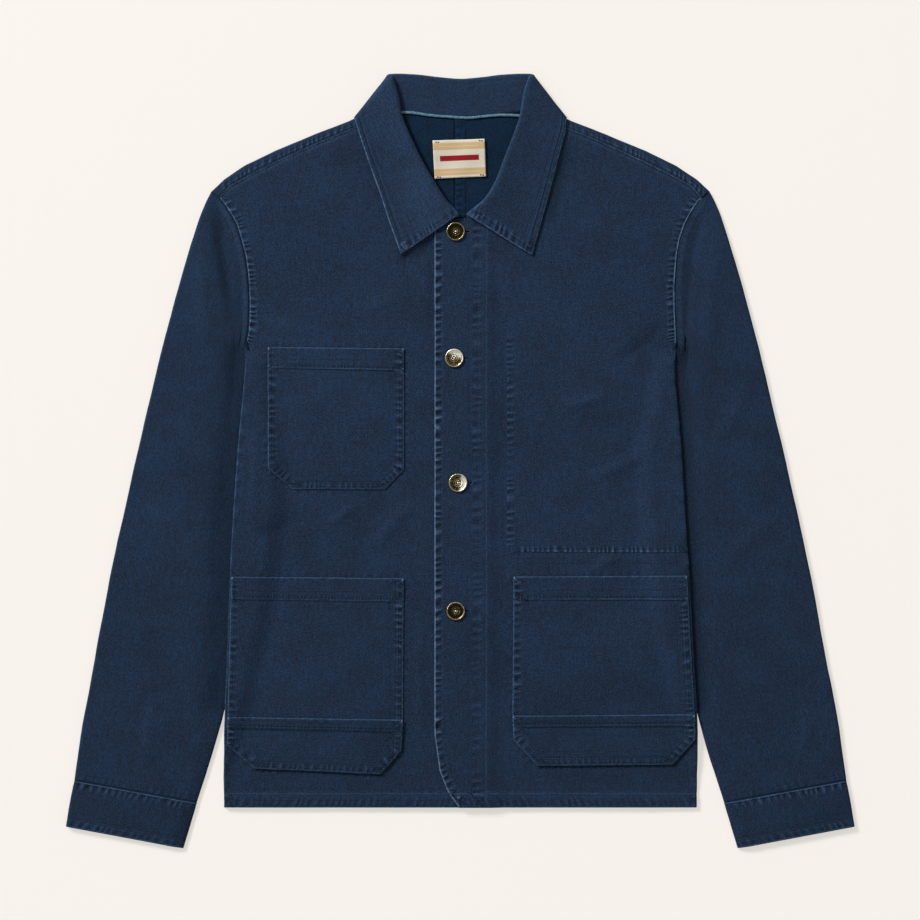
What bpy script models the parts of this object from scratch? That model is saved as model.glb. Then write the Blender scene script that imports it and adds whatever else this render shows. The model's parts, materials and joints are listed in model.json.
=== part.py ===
"""Cotton work jacket laid flat, buttoned, seen from straight above.

X runs across the chest, Y from hem to collar, Z up from the surface that the jacket lies on.
Every size in this file is in millimetres and is turned into metres where a mesh is made.
Tables give positions for one half, measured outwards from the centre line of the chest, so
the wearer's right half is built at -X and the left half at +X.
"""

from math import cos, hypot, pi, sin

import bmesh
import bpy
from mathutils import Matrix, Vector

MM = 0.001

# Cloth thickness and the clearances between pieces
PLY = 1.2
HEM_PLY = 2.0
COLLAR_PLY = 1.6
TRIM_PLY = 1.0
SEAM_GAP = 0.5
LAY_GAP = 0.4

# Main dimensions
HEM_Y = -352.9
HEM_TOP = (-338.0, 3.0)
HEM_FLAT = (-300.0, 40.0, 0.6)
LAP_EDGE = -26.5
LAP_HEIGHT = PLY + LAY_GAP
LAP_RAMP = (28.0, 19.0)
BODY_HEIGHT = 2 * PLY + LAY_GAP
LOFT = 1.2
LOFT_WIDTH = 70.0
SHOULDER_LOFT = 60.0
BACK_INSET = 2.2
TUCKED_HEIGHT = 3.4
CUFF_HEIGHT = 5.4

# What the body lies on. Under it at the side is the sleeve: how high it lifts the cloth, the
# length over which the cloth climbs onto it, and how far inside its fold the rise fades.
TUCKED_LIFT = 3.9
TUCKED_CLIMB = 20.0
TUCKED_FADE = (8.0, 22.0)

# Under the back neck is the leaf of the collar: its lift, and where the rise starts and fades
COLLAR_LIFT = 2.1
COLLAR_CLIMB = (296.0, 26.0)
COLLAR_FADE = (124.0, 40.0)

# Columns of a body panel: distance from its side edge
SIDE_COLUMNS = (16.0, 30.0, 44.0, 58.0, 78.0)
MIDDLE_COLUMNS = 4

# The front panel rolls down at its side edge: distance from the edge, share of the drop
EDGE_ROLL = (
    # distance, drop
    (0.0, 1.0),
    (0.1, 0.45),
    (0.8, 0.06),
    (2.2, 0.0),
)
EDGE_BOTTOM = 0.2

# Columns of a front panel near its centre edge, as distances from that edge
RIGHT_NECK_COLUMNS = (26.0, 13.0)
LEFT_NECK_COLUMNS = (37.0, 27.0, 14.0, 2.0)
RIGHT_EDGE_COLUMNS = (52.0, 26.0)
LAP_STITCH = 2.0
LAP_ROWS = (243.5, 203.0, 160.1, 117.3)

# Rows of the back along its centre seam, and its felled band, which is doubled
BACK_ROWS = (322.0, 295.0, 262.0, 205.0, 117.3)
BACK_LEVEL = 0.86
FELLED_BAND = (-5.5, 6.5)
FELLED_PLY = 1.7
FELLED_STEP = 1.2

# Folded edges are turned through these angles, in degrees
STRIP_ROLL = 2.0
TURNS = (80.0, 40.0, 0.0, -40.0, -80.0)

# Armhole seam from the shoulder tip to the underarm
ARMHOLE = (
    # y, right, left
    (267.2, 244.3, 244.3),
    (256.0, 236.1, 236.1),
    (241.7, 228.0, 228.5),
    (225.4, 222.9, 222.9),
    (209.1, 218.8, 220.1),
    (192.8, 216.4, 218.8),
    (176.5, 215.2, 217.8),
    (161.2, 214.7, 218.0),
    (145.9, 214.9, 218.6),
    (131.6, 215.9, 219.2),
    (117.3, 218.8, 219.8),
)

# Side edge of the body below the underarm, down to the hem
SIDE_EDGE = (
    # y, right, left, edge of the lapped front
    (101.0, 219.4, 218.2, LAP_EDGE),
    (80.6, 220.8, 218.9, LAP_EDGE),
    (52.0, 223.4, 221.9, LAP_EDGE),
    (11.2, 227.0, 225.2, LAP_EDGE),
    (-39.8, 230.7, 228.4, LAP_EDGE),
    (-90.8, 233.8, 231.4, LAP_EDGE),
    (-141.8, 235.9, 234.5, LAP_EDGE),
    (-192.8, 237.4, 237.4, LAP_EDGE),
    (-243.8, 238.8, 240.2, LAP_EDGE),
    (-279.5, 239.7, 241.2, LAP_EDGE),
    (-315.2, 240.4, 241.2, -21.4),
    (-337.5, 241.0, 241.2, -12.7),
    (-342.0, 241.1, 241.2, -9.2),
    (HEM_Y, 241.2, 241.2, -1.5),
)

# Shoulder: the fold that makes the outline, and the seam of the strip in front of it
SHOULDER = (
    # fold x, fold y, seam x, seam y
    (254.0, 274.4, 244.3, 267.2),
    (241.2, 286.6, 235.1, 278.5),
    (220.0, 301.0, 214.7, 289.7),
    (189.0, 316.0, 184.1, 305.0),
    (148.0, 333.0, 143.3, 323.3),
    (114.0, 345.9, 109.0, 337.2),
    (86.4, 358.8, 86.0, 346.6),
)

# Collar sections from the centre back to the shoulder: seam, roll and outer edge of the leaf
COLLAR_BACK = (
    # seam x, seam y, roll x, roll y, edge x, edge y
    (0.0, 349.3, 0.0, 388.6, 0.0, 331.0),
    (20.9, 349.9, 20.9, 390.2, 24.0, 331.0),
    (41.3, 351.9, 40.3, 392.7, 49.5, 332.0),
    (59.7, 354.5, 55.6, 393.7, 74.0, 336.1),
    (73.9, 356.5, 64.8, 393.9, 94.4, 341.7),
    (82.9, 357.5, 70.9, 393.5, 110.6, 349.4),
)

# Collar sections on the front from the shoulder to the centre, a table for each side
COLLAR_FRONT_RIGHT = (
    # seam x, seam y, roll x, roll y, edge x, edge y
    (83.0, 356.0, 70.4, 391.0, 110.8, 349.2),
    (84.6, 346.8, 64.3, 373.3, 103.5, 333.5),
    (82.1, 333.5, 59.7, 349.9, 97.4, 315.2),
    (74.0, 313.1, 50.5, 328.4, 90.3, 294.8),
    (59.7, 289.7, 40.3, 307.0, 82.1, 272.3),
    (40.3, 269.3, 28.1, 285.6, 75.0, 249.9),
    (19.9, 255.0, 14.8, 265.2, 67.8, 229.5),
    (2.6, 248.4, 1.0, 250.7, 60.7, 210.1),
)
COLLAR_FRONT_LEFT = (
    # seam x, seam y, roll x, roll y, edge x, edge y
    (83.0, 356.0, 70.4, 391.0, 110.8, 349.2),
    (84.6, 346.8, 64.8, 373.3, 106.6, 333.5),
    (82.1, 333.5, 60.7, 349.9, 101.5, 315.2),
    (74.0, 313.1, 53.6, 329.5, 96.4, 294.8),
    (60.7, 290.7, 45.9, 310.1, 90.3, 272.3),
    (45.4, 271.3, 38.3, 289.7, 84.2, 249.9),
    (28.6, 256.5, 26.5, 268.3, 78.5, 229.5),
    (7.6, 247.9, 6.1, 250.4, 72.9, 209.1),
)
# Sections where the band turns over at the end of the shoulder, each with its own roll
COLLAR_CREASE = (
    # seam x, seam y, stand x, stand y, roll x, roll y, leaf x, leaf y, edge x, edge y
    (84.2, 357.8, 71.6, 389.8, 73.8, 392.8, 76.2, 389.8, 113.0, 351.2),
)

# Heights of the collar's mid face at the back, at the crease, and over the front
BACK_STAND = 2.9
BACK_ROLL = 1.85
CREASE_STAND = 4.1
CREASE_ROLL = 4.15
CREASE_LEAF = 4.2
FRONT_STAND = (0.0, 0.5, 1.1)
FRONT_LEAF = (2.6, 1.6, 0.7, 0.3, 0.3)

# Sleeve rings below the armhole: outer and inner fold, height, share of the armhole's curve,
# and how far the ring swings out before it reaches its inner fold
SLEEVE_RINGS = (
    # outer x, outer y, inner x, inner y, height, curve, swing
    (259.1, 264.7, 219.9, 108.0, 3.2, 0.9, 9.1),
    (265.1, 250.0, 219.4, 98.0, 4.2, 0.65, 13.1),
    (271.7, 230.0, 218.0, 85.0, 4.8, 0.4, 16.0),
    (280.0, 203.0, 216.5, 72.0, 5.0, 0.15, 15.0),
    (290.0, 168.0, 213.5, 57.0, 5.0, 0.0, 13.5),
    (300.4, 128.8, 209.5, 40.0, 5.0, 0.0, 10.0),
    (310.1, 90.0, 206.5, 20.0, 5.0, 0.0, 6.0),
    (319.7, 50.0, 205.0, -5.0, 5.0, 0.0, 3.0),
    (329.8, 8.0, 205.0, -42.0, 5.0, 0.0, 1.0),
    (340.5, -40.0, 208.0, -84.0, 5.0, 0.0, 0.0),
    (351.8, -92.0, 213.5, -128.0, 5.0, 0.0, 0.0),
    (363.2, -150.0, 222.5, -180.0, 5.0, 0.0, 0.0),
    (374.0, -209.0, 235.5, -236.0, 5.0, 0.0, 0.0),
    (384.9, -268.0, 251.5, -294.0, 5.0, 0.0, 0.0),
    (393.2, -324.9, 268.5, -347.8, 4.6, 0.0, 0.0),
)
SLEEVE_RAMP = (5.0, 18.0)
CUFF_RINGS = (
    # outer x, outer y, inner x, inner y
    (393.4, -325.7, 268.6, -348.6),
    (397.6, -346.0, 275.4, -371.0),
    (401.9, -372.3, 282.6, -394.7),
)

# Soft folds of the front panels: middle, length, direction in degrees, width and height
FRONT_FOLDS_RIGHT = (
    # x, y, length, direction, width, height
    (123.0, -56.0, 90.0, 35.0, 26.0, 1.2),
    (150.0, 60.0, 80.0, -60.0, 30.0, 0.9),
)
FRONT_FOLDS_LEFT = (
    # x, y, length, direction, width, height
    (124.0, 59.0, 90.0, 15.0, 28.0, 1.2),
    (145.0, -106.0, 80.0, 40.0, 28.0, 1.1),
)

# Patch pockets: corners of the outline, and the lower edge of the band along the top
CHEST_POCKET = (
    # x, y
    (196.5, 116.1),
    (57.3, 114.8),
    (57.3, -8.9),
    (76.8, -29.3),
    (170.5, -29.0),
    (195.8, -7.5),
)
CHEST_BAND = ((196.5, 95.3), (55.4, 92.1))
LOWER_POCKET_RIGHT = (
    # x, y
    (233.2, -117.6),
    (57.6, -119.3),
    (58.4, -263.2),
    (60.1, -294.8),
    (81.3, -318.8),
    (209.8, -313.1),
    (237.3, -289.7),
    (236.9, -258.1),
)
LOWER_BAND_RIGHT = ((234.2, -140.3), (58.4, -143.0))
PATCH_TOP_RIGHT = ((236.9, -260.1), (58.4, -263.2))
PATCH_BAND_RIGHT = ((236.9, -271.8), (58.4, -275.9))
LOWER_POCKET_LEFT = (
    # x, y
    (230.6, -116.6),
    (53.9, -117.6),
    (52.9, -259.1),
    (53.9, -283.6),
    (78.3, -310.4),
    (216.0, -309.0),
    (238.8, -283.0),
    (238.4, -258.1),
)
LOWER_BAND_LEFT = ((231.5, -140.9), (53.9, -140.9))
PATCH_TOP_LEFT = ((238.4, -257.6), (52.9, -259.1))
PATCH_BAND_LEFT = ((238.4, -269.3), (52.9, -270.3))
BAND_RAISE = 0.6
BAND_STEP = 1.2
POCKET_SLACK = 0.8

# Buttons, from the neck down, and their buttonholes
BUTTONS = (
    # x, y
    (-4.9, 233.6),
    (-6.4, 104.8),
    (-2.6, -22.1),
    (-4.9, -152.6),
)
BUTTON_RADIUS = 10.0
BUTTON_STEPS = 20
BUTTON_DISH = (
    # distance in from the rim, height above the cloth
    (0.5, 0.0),
    (0.0, 0.7),
    (0.4, 1.7),
    (1.6, 2.0),
    (3.2, 1.4),
    (10.0, 1.2),
)
SHANK_RADIUS = 2.4
SHANK_GAP = 0.3
EYELET_RADIUS = 3.1
BUTTONHOLE_LENGTH = 15.0
BUTTONHOLE_WIDTH = 1.4
CUTTER_HEIGHT = 12.0
CUTTER_Z = 4.0

# Neck tape and label
TAPE = (
    # x, y, width
    (-54.0, 352.2, 3.6),
    (-40.0, 350.6, 3.6),
    (-20.0, 348.6, 3.6),
    (0.0, 347.6, 3.6),
    (20.0, 348.6, 3.6),
    (40.0, 350.4, 3.6),
    (54.0, 352.2, 3.6),
)
LABEL_X = (-27.5, 25.5)
LABEL_Y = (326.9, 288.5)
LABEL_STEPS = (4, 6)

# Colours of the finishes
TWILL = (0.017, 0.029, 0.058, 1.0)
TAPE_BLUE = (0.16, 0.30, 0.43, 1.0)
LABEL_CREAM = (0.68, 0.58, 0.42, 1.0)
BRASS = (0.36, 0.28, 0.15, 1.0)


def smooth(t):
    """Ease from 0 to 1 as t goes from 0 to 1."""
    t = min(1.0, max(0.0, t))
    return t * t * (3.0 - 2.0 * t)


def mix(a, b, t):
    return a + (b - a) * t


def mix_rows(a, b, t):
    return tuple(mix(p, q, t) for p, q in zip(a, b))


def along(table, t):
    """The row at share t of the table, between its rows in proportion to their distance."""
    steps = [hypot(b[0] - a[0], b[1] - a[1]) for a, b in zip(table, table[1:])]
    target = min(1.0, max(0.0, t)) * sum(steps)
    for index, step in enumerate(steps):
        if target <= step or index == len(steps) - 1:
            return mix_rows(table[index], table[index + 1], target / step)
        target -= step
    return table[-1]


def value_at(table, y):
    """Second column of a table at height y, where the first column falls from row to row."""
    if y >= table[0][0]:
        return table[0][1]
    for upper, lower in zip(table, table[1:]):
        if y >= lower[0]:
            return mix(upper[1], lower[1], (upper[0] - y) / (upper[0] - lower[0]))
    return table[-1][1]


def side_column(side):
    return 1 if side < 0 else 2


def side_edge(side, y):
    """Distance of the body's side edge from the centre line at height y."""
    column = side_column(side)
    rows = [(row[0], row[column]) for row in ARMHOLE + tuple(r[:3] for r in SIDE_EDGE)]
    return value_at(rows, y)


def sleeve_inner_edge(y):
    return value_at([(row[3], row[2]) for row in SLEEVE_RINGS], y)


def lift(x, y):
    """Height of what lies under the back panel: the sleeve at the side, the collar on top."""
    underarm_y = ARMHOLE[-1][0]
    inside = sleeve_inner_edge(y) - x
    climb = smooth((underarm_y - y) / TUCKED_CLIMB)
    tucked = climb * (1.0 - smooth((inside - TUCKED_FADE[0]) / TUCKED_FADE[1]))
    low = smooth((y - COLLAR_CLIMB[0]) / COLLAR_CLIMB[1])
    across = 1.0 - smooth((x - COLLAR_FADE[0]) / COLLAR_FADE[1])
    return max(TUCKED_LIFT * tucked, COLLAR_LIFT * low * across)


def fold_height(side, x, y):
    """Soft folds of one front panel."""
    table = FRONT_FOLDS_RIGHT if side < 0 else FRONT_FOLDS_LEFT
    total = 0.0
    for fold_x, fold_y, length, direction, width, height in table:
        angle = direction * pi / 180.0
        dx = x - fold_x
        dy = y - fold_y
        run = dx * cos(angle) + dy * sin(angle)
        off = dy * cos(angle) - dx * sin(angle)
        total += height * (1.0 - smooth(abs(run) / (length / 2))) * (1.0 - smooth(abs(off) / width))
    return total


def front_top(side, x, y):
    """Height of the outer face of a front panel."""
    from_side = side_edge(side, y) - x
    above = smooth((y - ARMHOLE[-1][0]) / SHOULDER_LOFT)
    loft = LOFT * max(smooth(from_side / LOFT_WIDTH), above)
    hem = 2 * (HEM_PLY - PLY) * smooth((HEM_TOP[0] - y) / HEM_TOP[1])
    near_hem = 1.0 - HEM_FLAT[2] * smooth((HEM_FLAT[0] - y) / HEM_FLAT[1])
    height = lift(x, y) + BODY_HEIGHT + loft * near_hem + hem + fold_height(side, x, y)
    if side > 0:
        lapped = 1.0 - smooth((x - LAP_RAMP[0]) / LAP_RAMP[1])
        height += lapped * (LAP_HEIGHT + hem / 2)
    return height


def make_object(name, bm, color, roughness, metallic=0.0):
    """An object made from a bmesh, with its own material."""
    mesh = bpy.data.meshes.new(name)
    bm.to_mesh(mesh)
    bm.free()
    obj = bpy.data.objects.new(name, mesh)
    bpy.context.scene.collection.objects.link(obj)
    material = bpy.data.materials.new(name)
    material.use_nodes = True
    shader = material.node_tree.nodes["Principled BSDF"]
    shader.inputs["Base Color"].default_value = color
    shader.inputs["Roughness"].default_value = roughness
    shader.inputs["Metallic"].default_value = metallic
    mesh.materials.append(material)
    mesh.shade_smooth()
    return obj


def wall(obj, thickness, offset=-1.0):
    """Give a surface its thickness, to the inside of its outer face."""
    solid = obj.modifiers.new("wall", "SOLIDIFY")
    solid.thickness = thickness * MM
    solid.offset = offset
    solid.use_even_offset = True
    solid.use_quality_normals = True
    return solid


def cloth(name, rows, thickness, plies=None, closed=False, flip=False, middle=False, color=TWILL):
    """A cloth wall whose outer face runs through rows of points.

    plies gives a thickness for each point instead of the same one all over, closed joins
    the last point of each row to its first, and middle makes the rows the wall's mid face.
    """
    columns = len(rows[0])
    width = columns + 1 if closed else columns
    bm = bmesh.new()
    bmesh.ops.create_grid(bm, x_segments=width - 1, y_segments=len(rows) - 1, size=1.0)
    bm.verts.ensure_lookup_table()
    most = max(max(line) for line in plies) if plies else thickness
    layer = bm.verts.layers.deform.new() if plies else None
    for index, vert in enumerate(bm.verts):
        row = index // width
        column = (index % width) % columns
        vert.co = Vector(rows[row][column]) * MM
        if plies:
            vert[layer][0] = plies[row][column] / most
    if closed:
        bmesh.ops.remove_doubles(bm, verts=bm.verts, dist=1e-6)
    if flip:
        bmesh.ops.reverse_faces(bm, faces=bm.faces)
    bmesh.ops.triangulate(bm, faces=bm.faces)
    obj = make_object(name, bm, color, 0.85)
    solid = wall(obj, most, 0.0 if middle else -1.0)
    if plies:
        obj.vertex_groups.new(name="plies")
        solid.vertex_group = "plies"
    return obj


def away(point, other, distance):
    """The point moved by a distance straight away from the other one."""
    dx = point[0] - other[0]
    dy = point[1] - other[1]
    length = hypot(dx, dy)
    return (point[0] + dx / length * distance, point[1] + dy / length * distance)


def armhole_points(side):
    column = side_column(side)
    return [(row[column], row[0]) for row in ARMHOLE]


def neckline(side):
    """Corners of a front panel on its neck seam, clear of the collar."""
    table = COLLAR_FRONT_RIGHT if side < 0 else COLLAR_FRONT_LEFT
    return [away(row[:2], row[2:4], SEAM_GAP) for row in table[1:]]


def panel_columns(width, first, extra):
    """Distances of a body panel's columns from its side edge."""
    fixed = list(first) + list(SIDE_COLUMNS)
    inner = width - (extra[0] if extra else 0.0)
    gap = (inner - fixed[-1]) / (MIDDLE_COLUMNS + 1)
    spread = [fixed[-1] + gap * (k + 1) for k in range(MIDDLE_COLUMNS)]
    return fixed + spread + [width - e for e in extra] + [width]


def front_panel(side):
    """One front: rows run from the side to the centre, down from the shoulder seam."""
    armhole = armhole_points(side)
    neck = neckline(side)
    edges = neck + [(LAP_EDGE, y) for y in LAP_ROWS]
    ends = [(a, e, False) for a, e in zip(armhole, edges)]
    for row in SIDE_EDGE:
        lap = row[3] if side > 0 else LAP_EDGE
        ends.append(((row[side_column(side)], row[0]), (lap, row[0]), True))
    first = [distance for distance, drop in EDGE_ROLL]
    drops = dict(EDGE_ROLL)
    neck_columns = LEFT_NECK_COLUMNS if side > 0 else RIGHT_NECK_COLUMNS
    rows = []
    plies = []
    for index, ((side_x, side_y), (centre_x, centre_y), rolled) in enumerate(ends):
        width = side_x - centre_x
        ramp_end = sum(LAP_RAMP) - centre_x
        ramp_start = LAP_RAMP[0] - centre_x
        if index < len(neck):
            extra = neck_columns
        elif side > 0:
            extra = (ramp_end, ramp_start, ramp_start / 2, LAP_STITCH)
        else:
            extra = RIGHT_EDGE_COLUMNS
        line = []
        for distance in panel_columns(width, first, extra):
            x = side_x - distance
            share = distance / width
            y = mix(side_y, centre_y, share)
            if index == 0:
                x, y = along(SHOULDER, share)[2:]
            z = front_top(side, x, y)
            if rolled:
                z -= drops.get(distance, 0.0) * (z - lift(x, y) - EDGE_BOTTOM)
            line.append((side * x, y, z))
        rows.append(line)
        ply = HEM_PLY if index >= len(ends) - 2 else PLY
        plies.append([PLY] * len(first) + [ply] * (len(line) - len(first)))
    name = "front_right" if side < 0 else "front_left"
    return cloth(name, rows, PLY, plies, flip=side < 0)


def shoulder_roll(x, y, fold, top, bottom):
    """Points round the shoulder fold from its top face to its underside."""
    points = []
    radius = (top - bottom) / 2
    middle = (top + bottom) / 2
    length = hypot(fold[0] - x, fold[1] - y)
    for angle in TURNS:
        turn = angle * pi / 180.0
        inset = STRIP_ROLL * (1.0 - cos(turn)) / length
        points.append((mix(fold[0], x, inset), mix(fold[1], y, inset), middle + radius * sin(turn)))
    return points


def back_panel(side):
    """One half of the back, from its shoulder seam on the front over the fold and down."""
    armhole = armhole_points(side)
    neck = [away(row[:2], row[2:4], SEAM_GAP) for row in reversed(COLLAR_BACK)]
    centre = [(0.0, y) for y in BACK_ROWS]
    centre_line = side * FELLED_BAND[0] + LAY_GAP / 2
    band = FELLED_BAND[1] - centre_line
    extra = (band + FELLED_STEP, band) if side > 0 else ()
    edges = neck + centre
    columns = len(SIDE_COLUMNS) + MIDDLE_COLUMNS + len(extra) + 2
    plain = [PLY] * columns
    felled = plain[:-2] + [FELLED_PLY] * 2 if side > 0 else plain
    rows = []
    strip = []
    for k in range(columns):
        row = along(SHOULDER, k / (columns - 1))
        seam = away((row[2], row[3]), (row[0], row[1]), -SEAM_GAP)
        top = front_top(-1, *seam)
        strip.append((row, seam, top, lift(*seam)))
    rows.append([(side * seam[0], seam[1], top) for row, seam, top, bottom in strip])
    rolls = [shoulder_roll(*seam, row[:2], top, bottom) for row, seam, top, bottom in strip]
    for turn in range(len(TURNS)):
        rows.append([(side * p[turn][0], p[turn][1], p[turn][2]) for p in rolls])
    plies = [plain for row in rows]
    for index, ((side_x, side_y), (centre_x, centre_y)) in enumerate(zip(armhole, edges)):
        if index >= len(neck) - 1:
            centre_x = centre_line
        width = side_x - centre_x
        inset = BACK_INSET / 2 if index == len(armhole) - 1 else 0.0
        line = []
        for distance in panel_columns(width, (inset,), extra):
            x = side_x - distance
            share = distance / width
            level = min(1.0, share / BACK_LEVEL) if index >= len(neck) else share
            y = mix(side_y, centre_y, level)
            line.append((side * x, y, lift(x, y)))
        rows.append(line)
        plies.append(felled if index >= len(neck) - 1 else plain)
    for row in SIDE_EDGE:
        side_x = row[side_column(side)]
        line = []
        for distance in panel_columns(side_x - centre_line, (BACK_INSET,), extra):
            x = side_x - distance
            line.append((side * x, row[0], lift(x, row[0])))
        rows.append(line)
        plies.append(felled)
    plies[-2:] = [[HEM_PLY] * columns] * 2
    name = "back_right" if side < 0 else "back_left"
    return cloth(name, rows, PLY, plies, flip=side > 0)


def normals_out(path):
    """Unit vectors to the right of a path, which is away from the body along the armhole."""
    result = []
    for index in range(len(path)):
        before = path[max(0, index - 1)]
        after = path[min(len(path) - 1, index + 1)]
        dx = after[0] - before[0]
        dy = after[1] - before[1]
        length = hypot(dx, dy)
        result.append((-dy / length, dx / length))
    return result


def armhole_loop(side):
    """First ring of a sleeve: down the front seam, round the underarm and up the back one."""
    armhole = armhole_points(side)
    fold = SHOULDER[0][:2]
    top = front_top(side, *armhole[0])
    rolls = shoulder_roll(*armhole[0], fold, top, lift(*armhole[0]))
    path = [(p[0], p[1]) for p in rolls[2::-1]] + armhole
    shifted = []
    for (x, y), (nx, ny) in zip(path, normals_out(path)):
        shifted.append((x + nx * SEAM_GAP, y + ny * SEAM_GAP))
    heights = [p[2] for p in rolls]
    around = shifted[:3]
    seam = shifted[3:]
    front = [(x, y, front_top(side, *armhole[k])) for k, (x, y) in enumerate(seam)]
    back = [(x, y, lift(*armhole[k])) for k, (x, y) in enumerate(seam)]
    last = seam[-1]
    under = (last[0] + 0.2, last[1] - 1.0, (front[-1][2] + back[-1][2]) / 2)
    roll = [around[k] + (z,) for k, z in zip((2, 1, 0, 1, 2), reversed(heights))]
    return front + [under] + back[::-1] + roll


def flat_ring(side, outer, inner, height, shares, bends, curve=0.0, swing=0.0):
    """A flattened tube section from its outer fold to its inner fold, lying on the surface.

    outer and inner are a point on the fold and the unit vector from it into the sleeve.
    """
    (outer_x, outer_y), (outer_nx, outer_ny) = outer
    (inner_x, inner_y), (inner_nx, inner_ny) = inner
    inner_height = min(height, TUCKED_HEIGHT)
    count = len(shares)
    points = []

    def chord(share, bend):
        x = mix(outer_x, inner_x + swing, share) + bend[0] * curve
        y = mix(outer_y, inner_y, share) + bend[1] * curve
        return x, y

    def top(x, y):
        if y > ARMHOLE[-1][0]:
            return height
        clear = x - side_edge(side, y) - SLEEVE_RAMP[0]
        return mix(inner_height, height, smooth(clear / SLEEVE_RAMP[1]))

    upper = [chord(share, bend) for share, bend in zip(shares[:-1], bends)]
    radius = inner_height / 2
    last = (inner_x + inner_nx * radius, inner_y + inner_ny * radius)
    points += [(x, y, top(x, y)) for x, y in upper]
    points.append(last + (inner_height,))
    points.append((inner_x, inner_y, radius))
    points.append(last + (0.0,))
    points += [(x, y, 0.0) for x, y in reversed(upper)]
    for angle, bend in zip(reversed(TURNS), bends[2 * count + 1:]):
        turn = angle * pi / 180.0
        inset = height / 2 * (1.0 - cos(turn))
        x = outer_x + outer_nx * inset + bend[0] * curve
        y = outer_y + outer_ny * inset + bend[1] * curve
        points.append((x, y, height / 2 * (1.0 + sin(turn))))
    return points


def folds_of(table, start=None):
    """Outer and inner fold of a tube for each of its rings, with unit vectors into it."""
    outer = [row[:2] for row in table]
    inner = [row[2:4] for row in table]
    if start:
        outer.insert(0, start[0])
        inner.insert(0, start[1])
    into_outer = [(-x, -y) for x, y in normals_out(outer)]
    into_inner = normals_out(inner)
    folds = list(zip(zip(outer, into_outer), zip(inner, into_inner)))
    return folds[1:] if start else folds


def ring_shares(side):
    """How far each armhole point lies from the outer to the inner fold of the sleeve."""
    armhole = armhole_points(side)
    steps = [hypot(b[0] - a[0], b[1] - a[1]) for a, b in zip(armhole, armhole[1:])]
    total = sum(steps)
    shares = [0.045]
    for step in steps:
        shares.append(shares[-1] + step / total * 0.955)
    return shares


def sleeve(side):
    """A sleeve: a flattened tube whose rings fan out from the armhole to the cuff seam."""
    loop = armhole_loop(side)
    shares = ring_shares(side)
    outer = SHOULDER[0][:2]
    inner = loop[len(shares)][:2]
    along_chord = shares + [1.0] + shares[::-1] + [0.0] * 5
    bends = []
    for point, share in zip(loop, along_chord):
        x = mix(outer[0], inner[0], share)
        y = mix(outer[1], inner[1], share)
        bends.append((point[0] - x, point[1] - y))
    rings = [loop]
    for row, (outer, inner) in zip(SLEEVE_RINGS, folds_of(SLEEVE_RINGS, (outer, inner))):
        rings.append(flat_ring(side, outer, inner, row[4], shares, bends, row[5], row[6]))
    rows = [[(side * x, y, z) for x, y, z in ring] for ring in rings]
    name = "sleeve_right" if side < 0 else "sleeve_left"
    return cloth(name, rows, PLY, closed=True, flip=side < 0)


def cuff(side):
    """A cuff: a band of doubled cloth round the end of the sleeve."""
    shares = ring_shares(side)
    bends = [(0.0, 0.0)] * (2 * len(shares) + 6)
    rows = []
    for outer, inner in folds_of(CUFF_RINGS):
        ring = flat_ring(side, outer, inner, CUFF_HEIGHT, shares, bends)
        rows.append([(side * x, y, z) for x, y, z in ring])
    name = "cuff_right" if side < 0 else "cuff_left"
    return cloth(name, rows, HEM_PLY, closed=True, flip=side < 0)


def between(start, end, shares, heights):
    return [(mix(start[0], end[0], t), mix(start[1], end[1], t), z) for t, z in zip(shares, heights)]


def back_section(row):
    """Middle of the collar at the back: the stand lies on the leaf, which is rolled under."""
    half = COLLAR_PLY / 2
    stand = between(row[:2], row[2:4], (0.0, 0.5, 0.94), (BACK_STAND,) * 3)
    leaf = between(row[2:4], row[4:6], (0.04, 0.25, 0.5, 0.75, 1.0), (half,) * 5)
    return stand + [(row[2], row[3], BACK_ROLL)] + leaf


def crease_section(row):
    """Middle of the collar where it turns over from the back to the front."""
    stand = between(row[:2], row[2:4], (0.0, 0.5, 1.0), (CREASE_STAND,) * 3)
    leaf = between(row[6:8], row[8:10], (0.0, 0.22, 0.48, 0.74, 1.0), (CREASE_LEAF,) * 5)
    return stand + [(row[4], row[5], CREASE_ROLL)] + leaf


def leaf_floor(side, x, y):
    """Height that the leaf of the collar rests on."""
    if side > 0:
        return front_top(1, x, y) + LAY_GAP
    under = front_top(-1, x, y)
    return under + LAP_HEIGHT * (1.0 - smooth((x - 30.0) / 20.0)) + LAY_GAP


def front_section(side, row):
    """Middle of the collar on the front: the stand rises to a soft roll and the leaf falls."""
    half = COLLAR_PLY / 2
    base = front_top(side, row[0], row[1]) - half
    stand = between(row[:2], row[2:4], (0.0, 0.5, 0.94), [base + rise for rise in FRONT_STAND])
    places = between(row[2:4], row[4:6], (0.05, 0.25, 0.5, 0.75, 1.0), FRONT_LEAF)
    leaf = [(x, y, leaf_floor(side, x, y) + half + hump) for x, y, hump in places]
    return stand + [(row[2], row[3], (stand[2][2] + leaf[0][2]) / 2)] + leaf


def collar():
    """The collar: one band round the neck, its leaf rolled over under the back and on the fronts."""
    rows = []
    for side, table in ((-1, COLLAR_FRONT_RIGHT), (1, COLLAR_FRONT_LEFT)):
        half = [front_section(side, row) for row in reversed(table)]
        half += [crease_section(row) for row in COLLAR_CREASE]
        half += [back_section(row) for row in reversed(COLLAR_BACK)]
        half = [[(side * x, y, z) for x, y, z in section] for section in half]
        if side < 0:
            rows = half
        else:
            rows += half[-2::-1]
    return cloth("collar", rows, COLLAR_PLY, middle=True)


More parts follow.
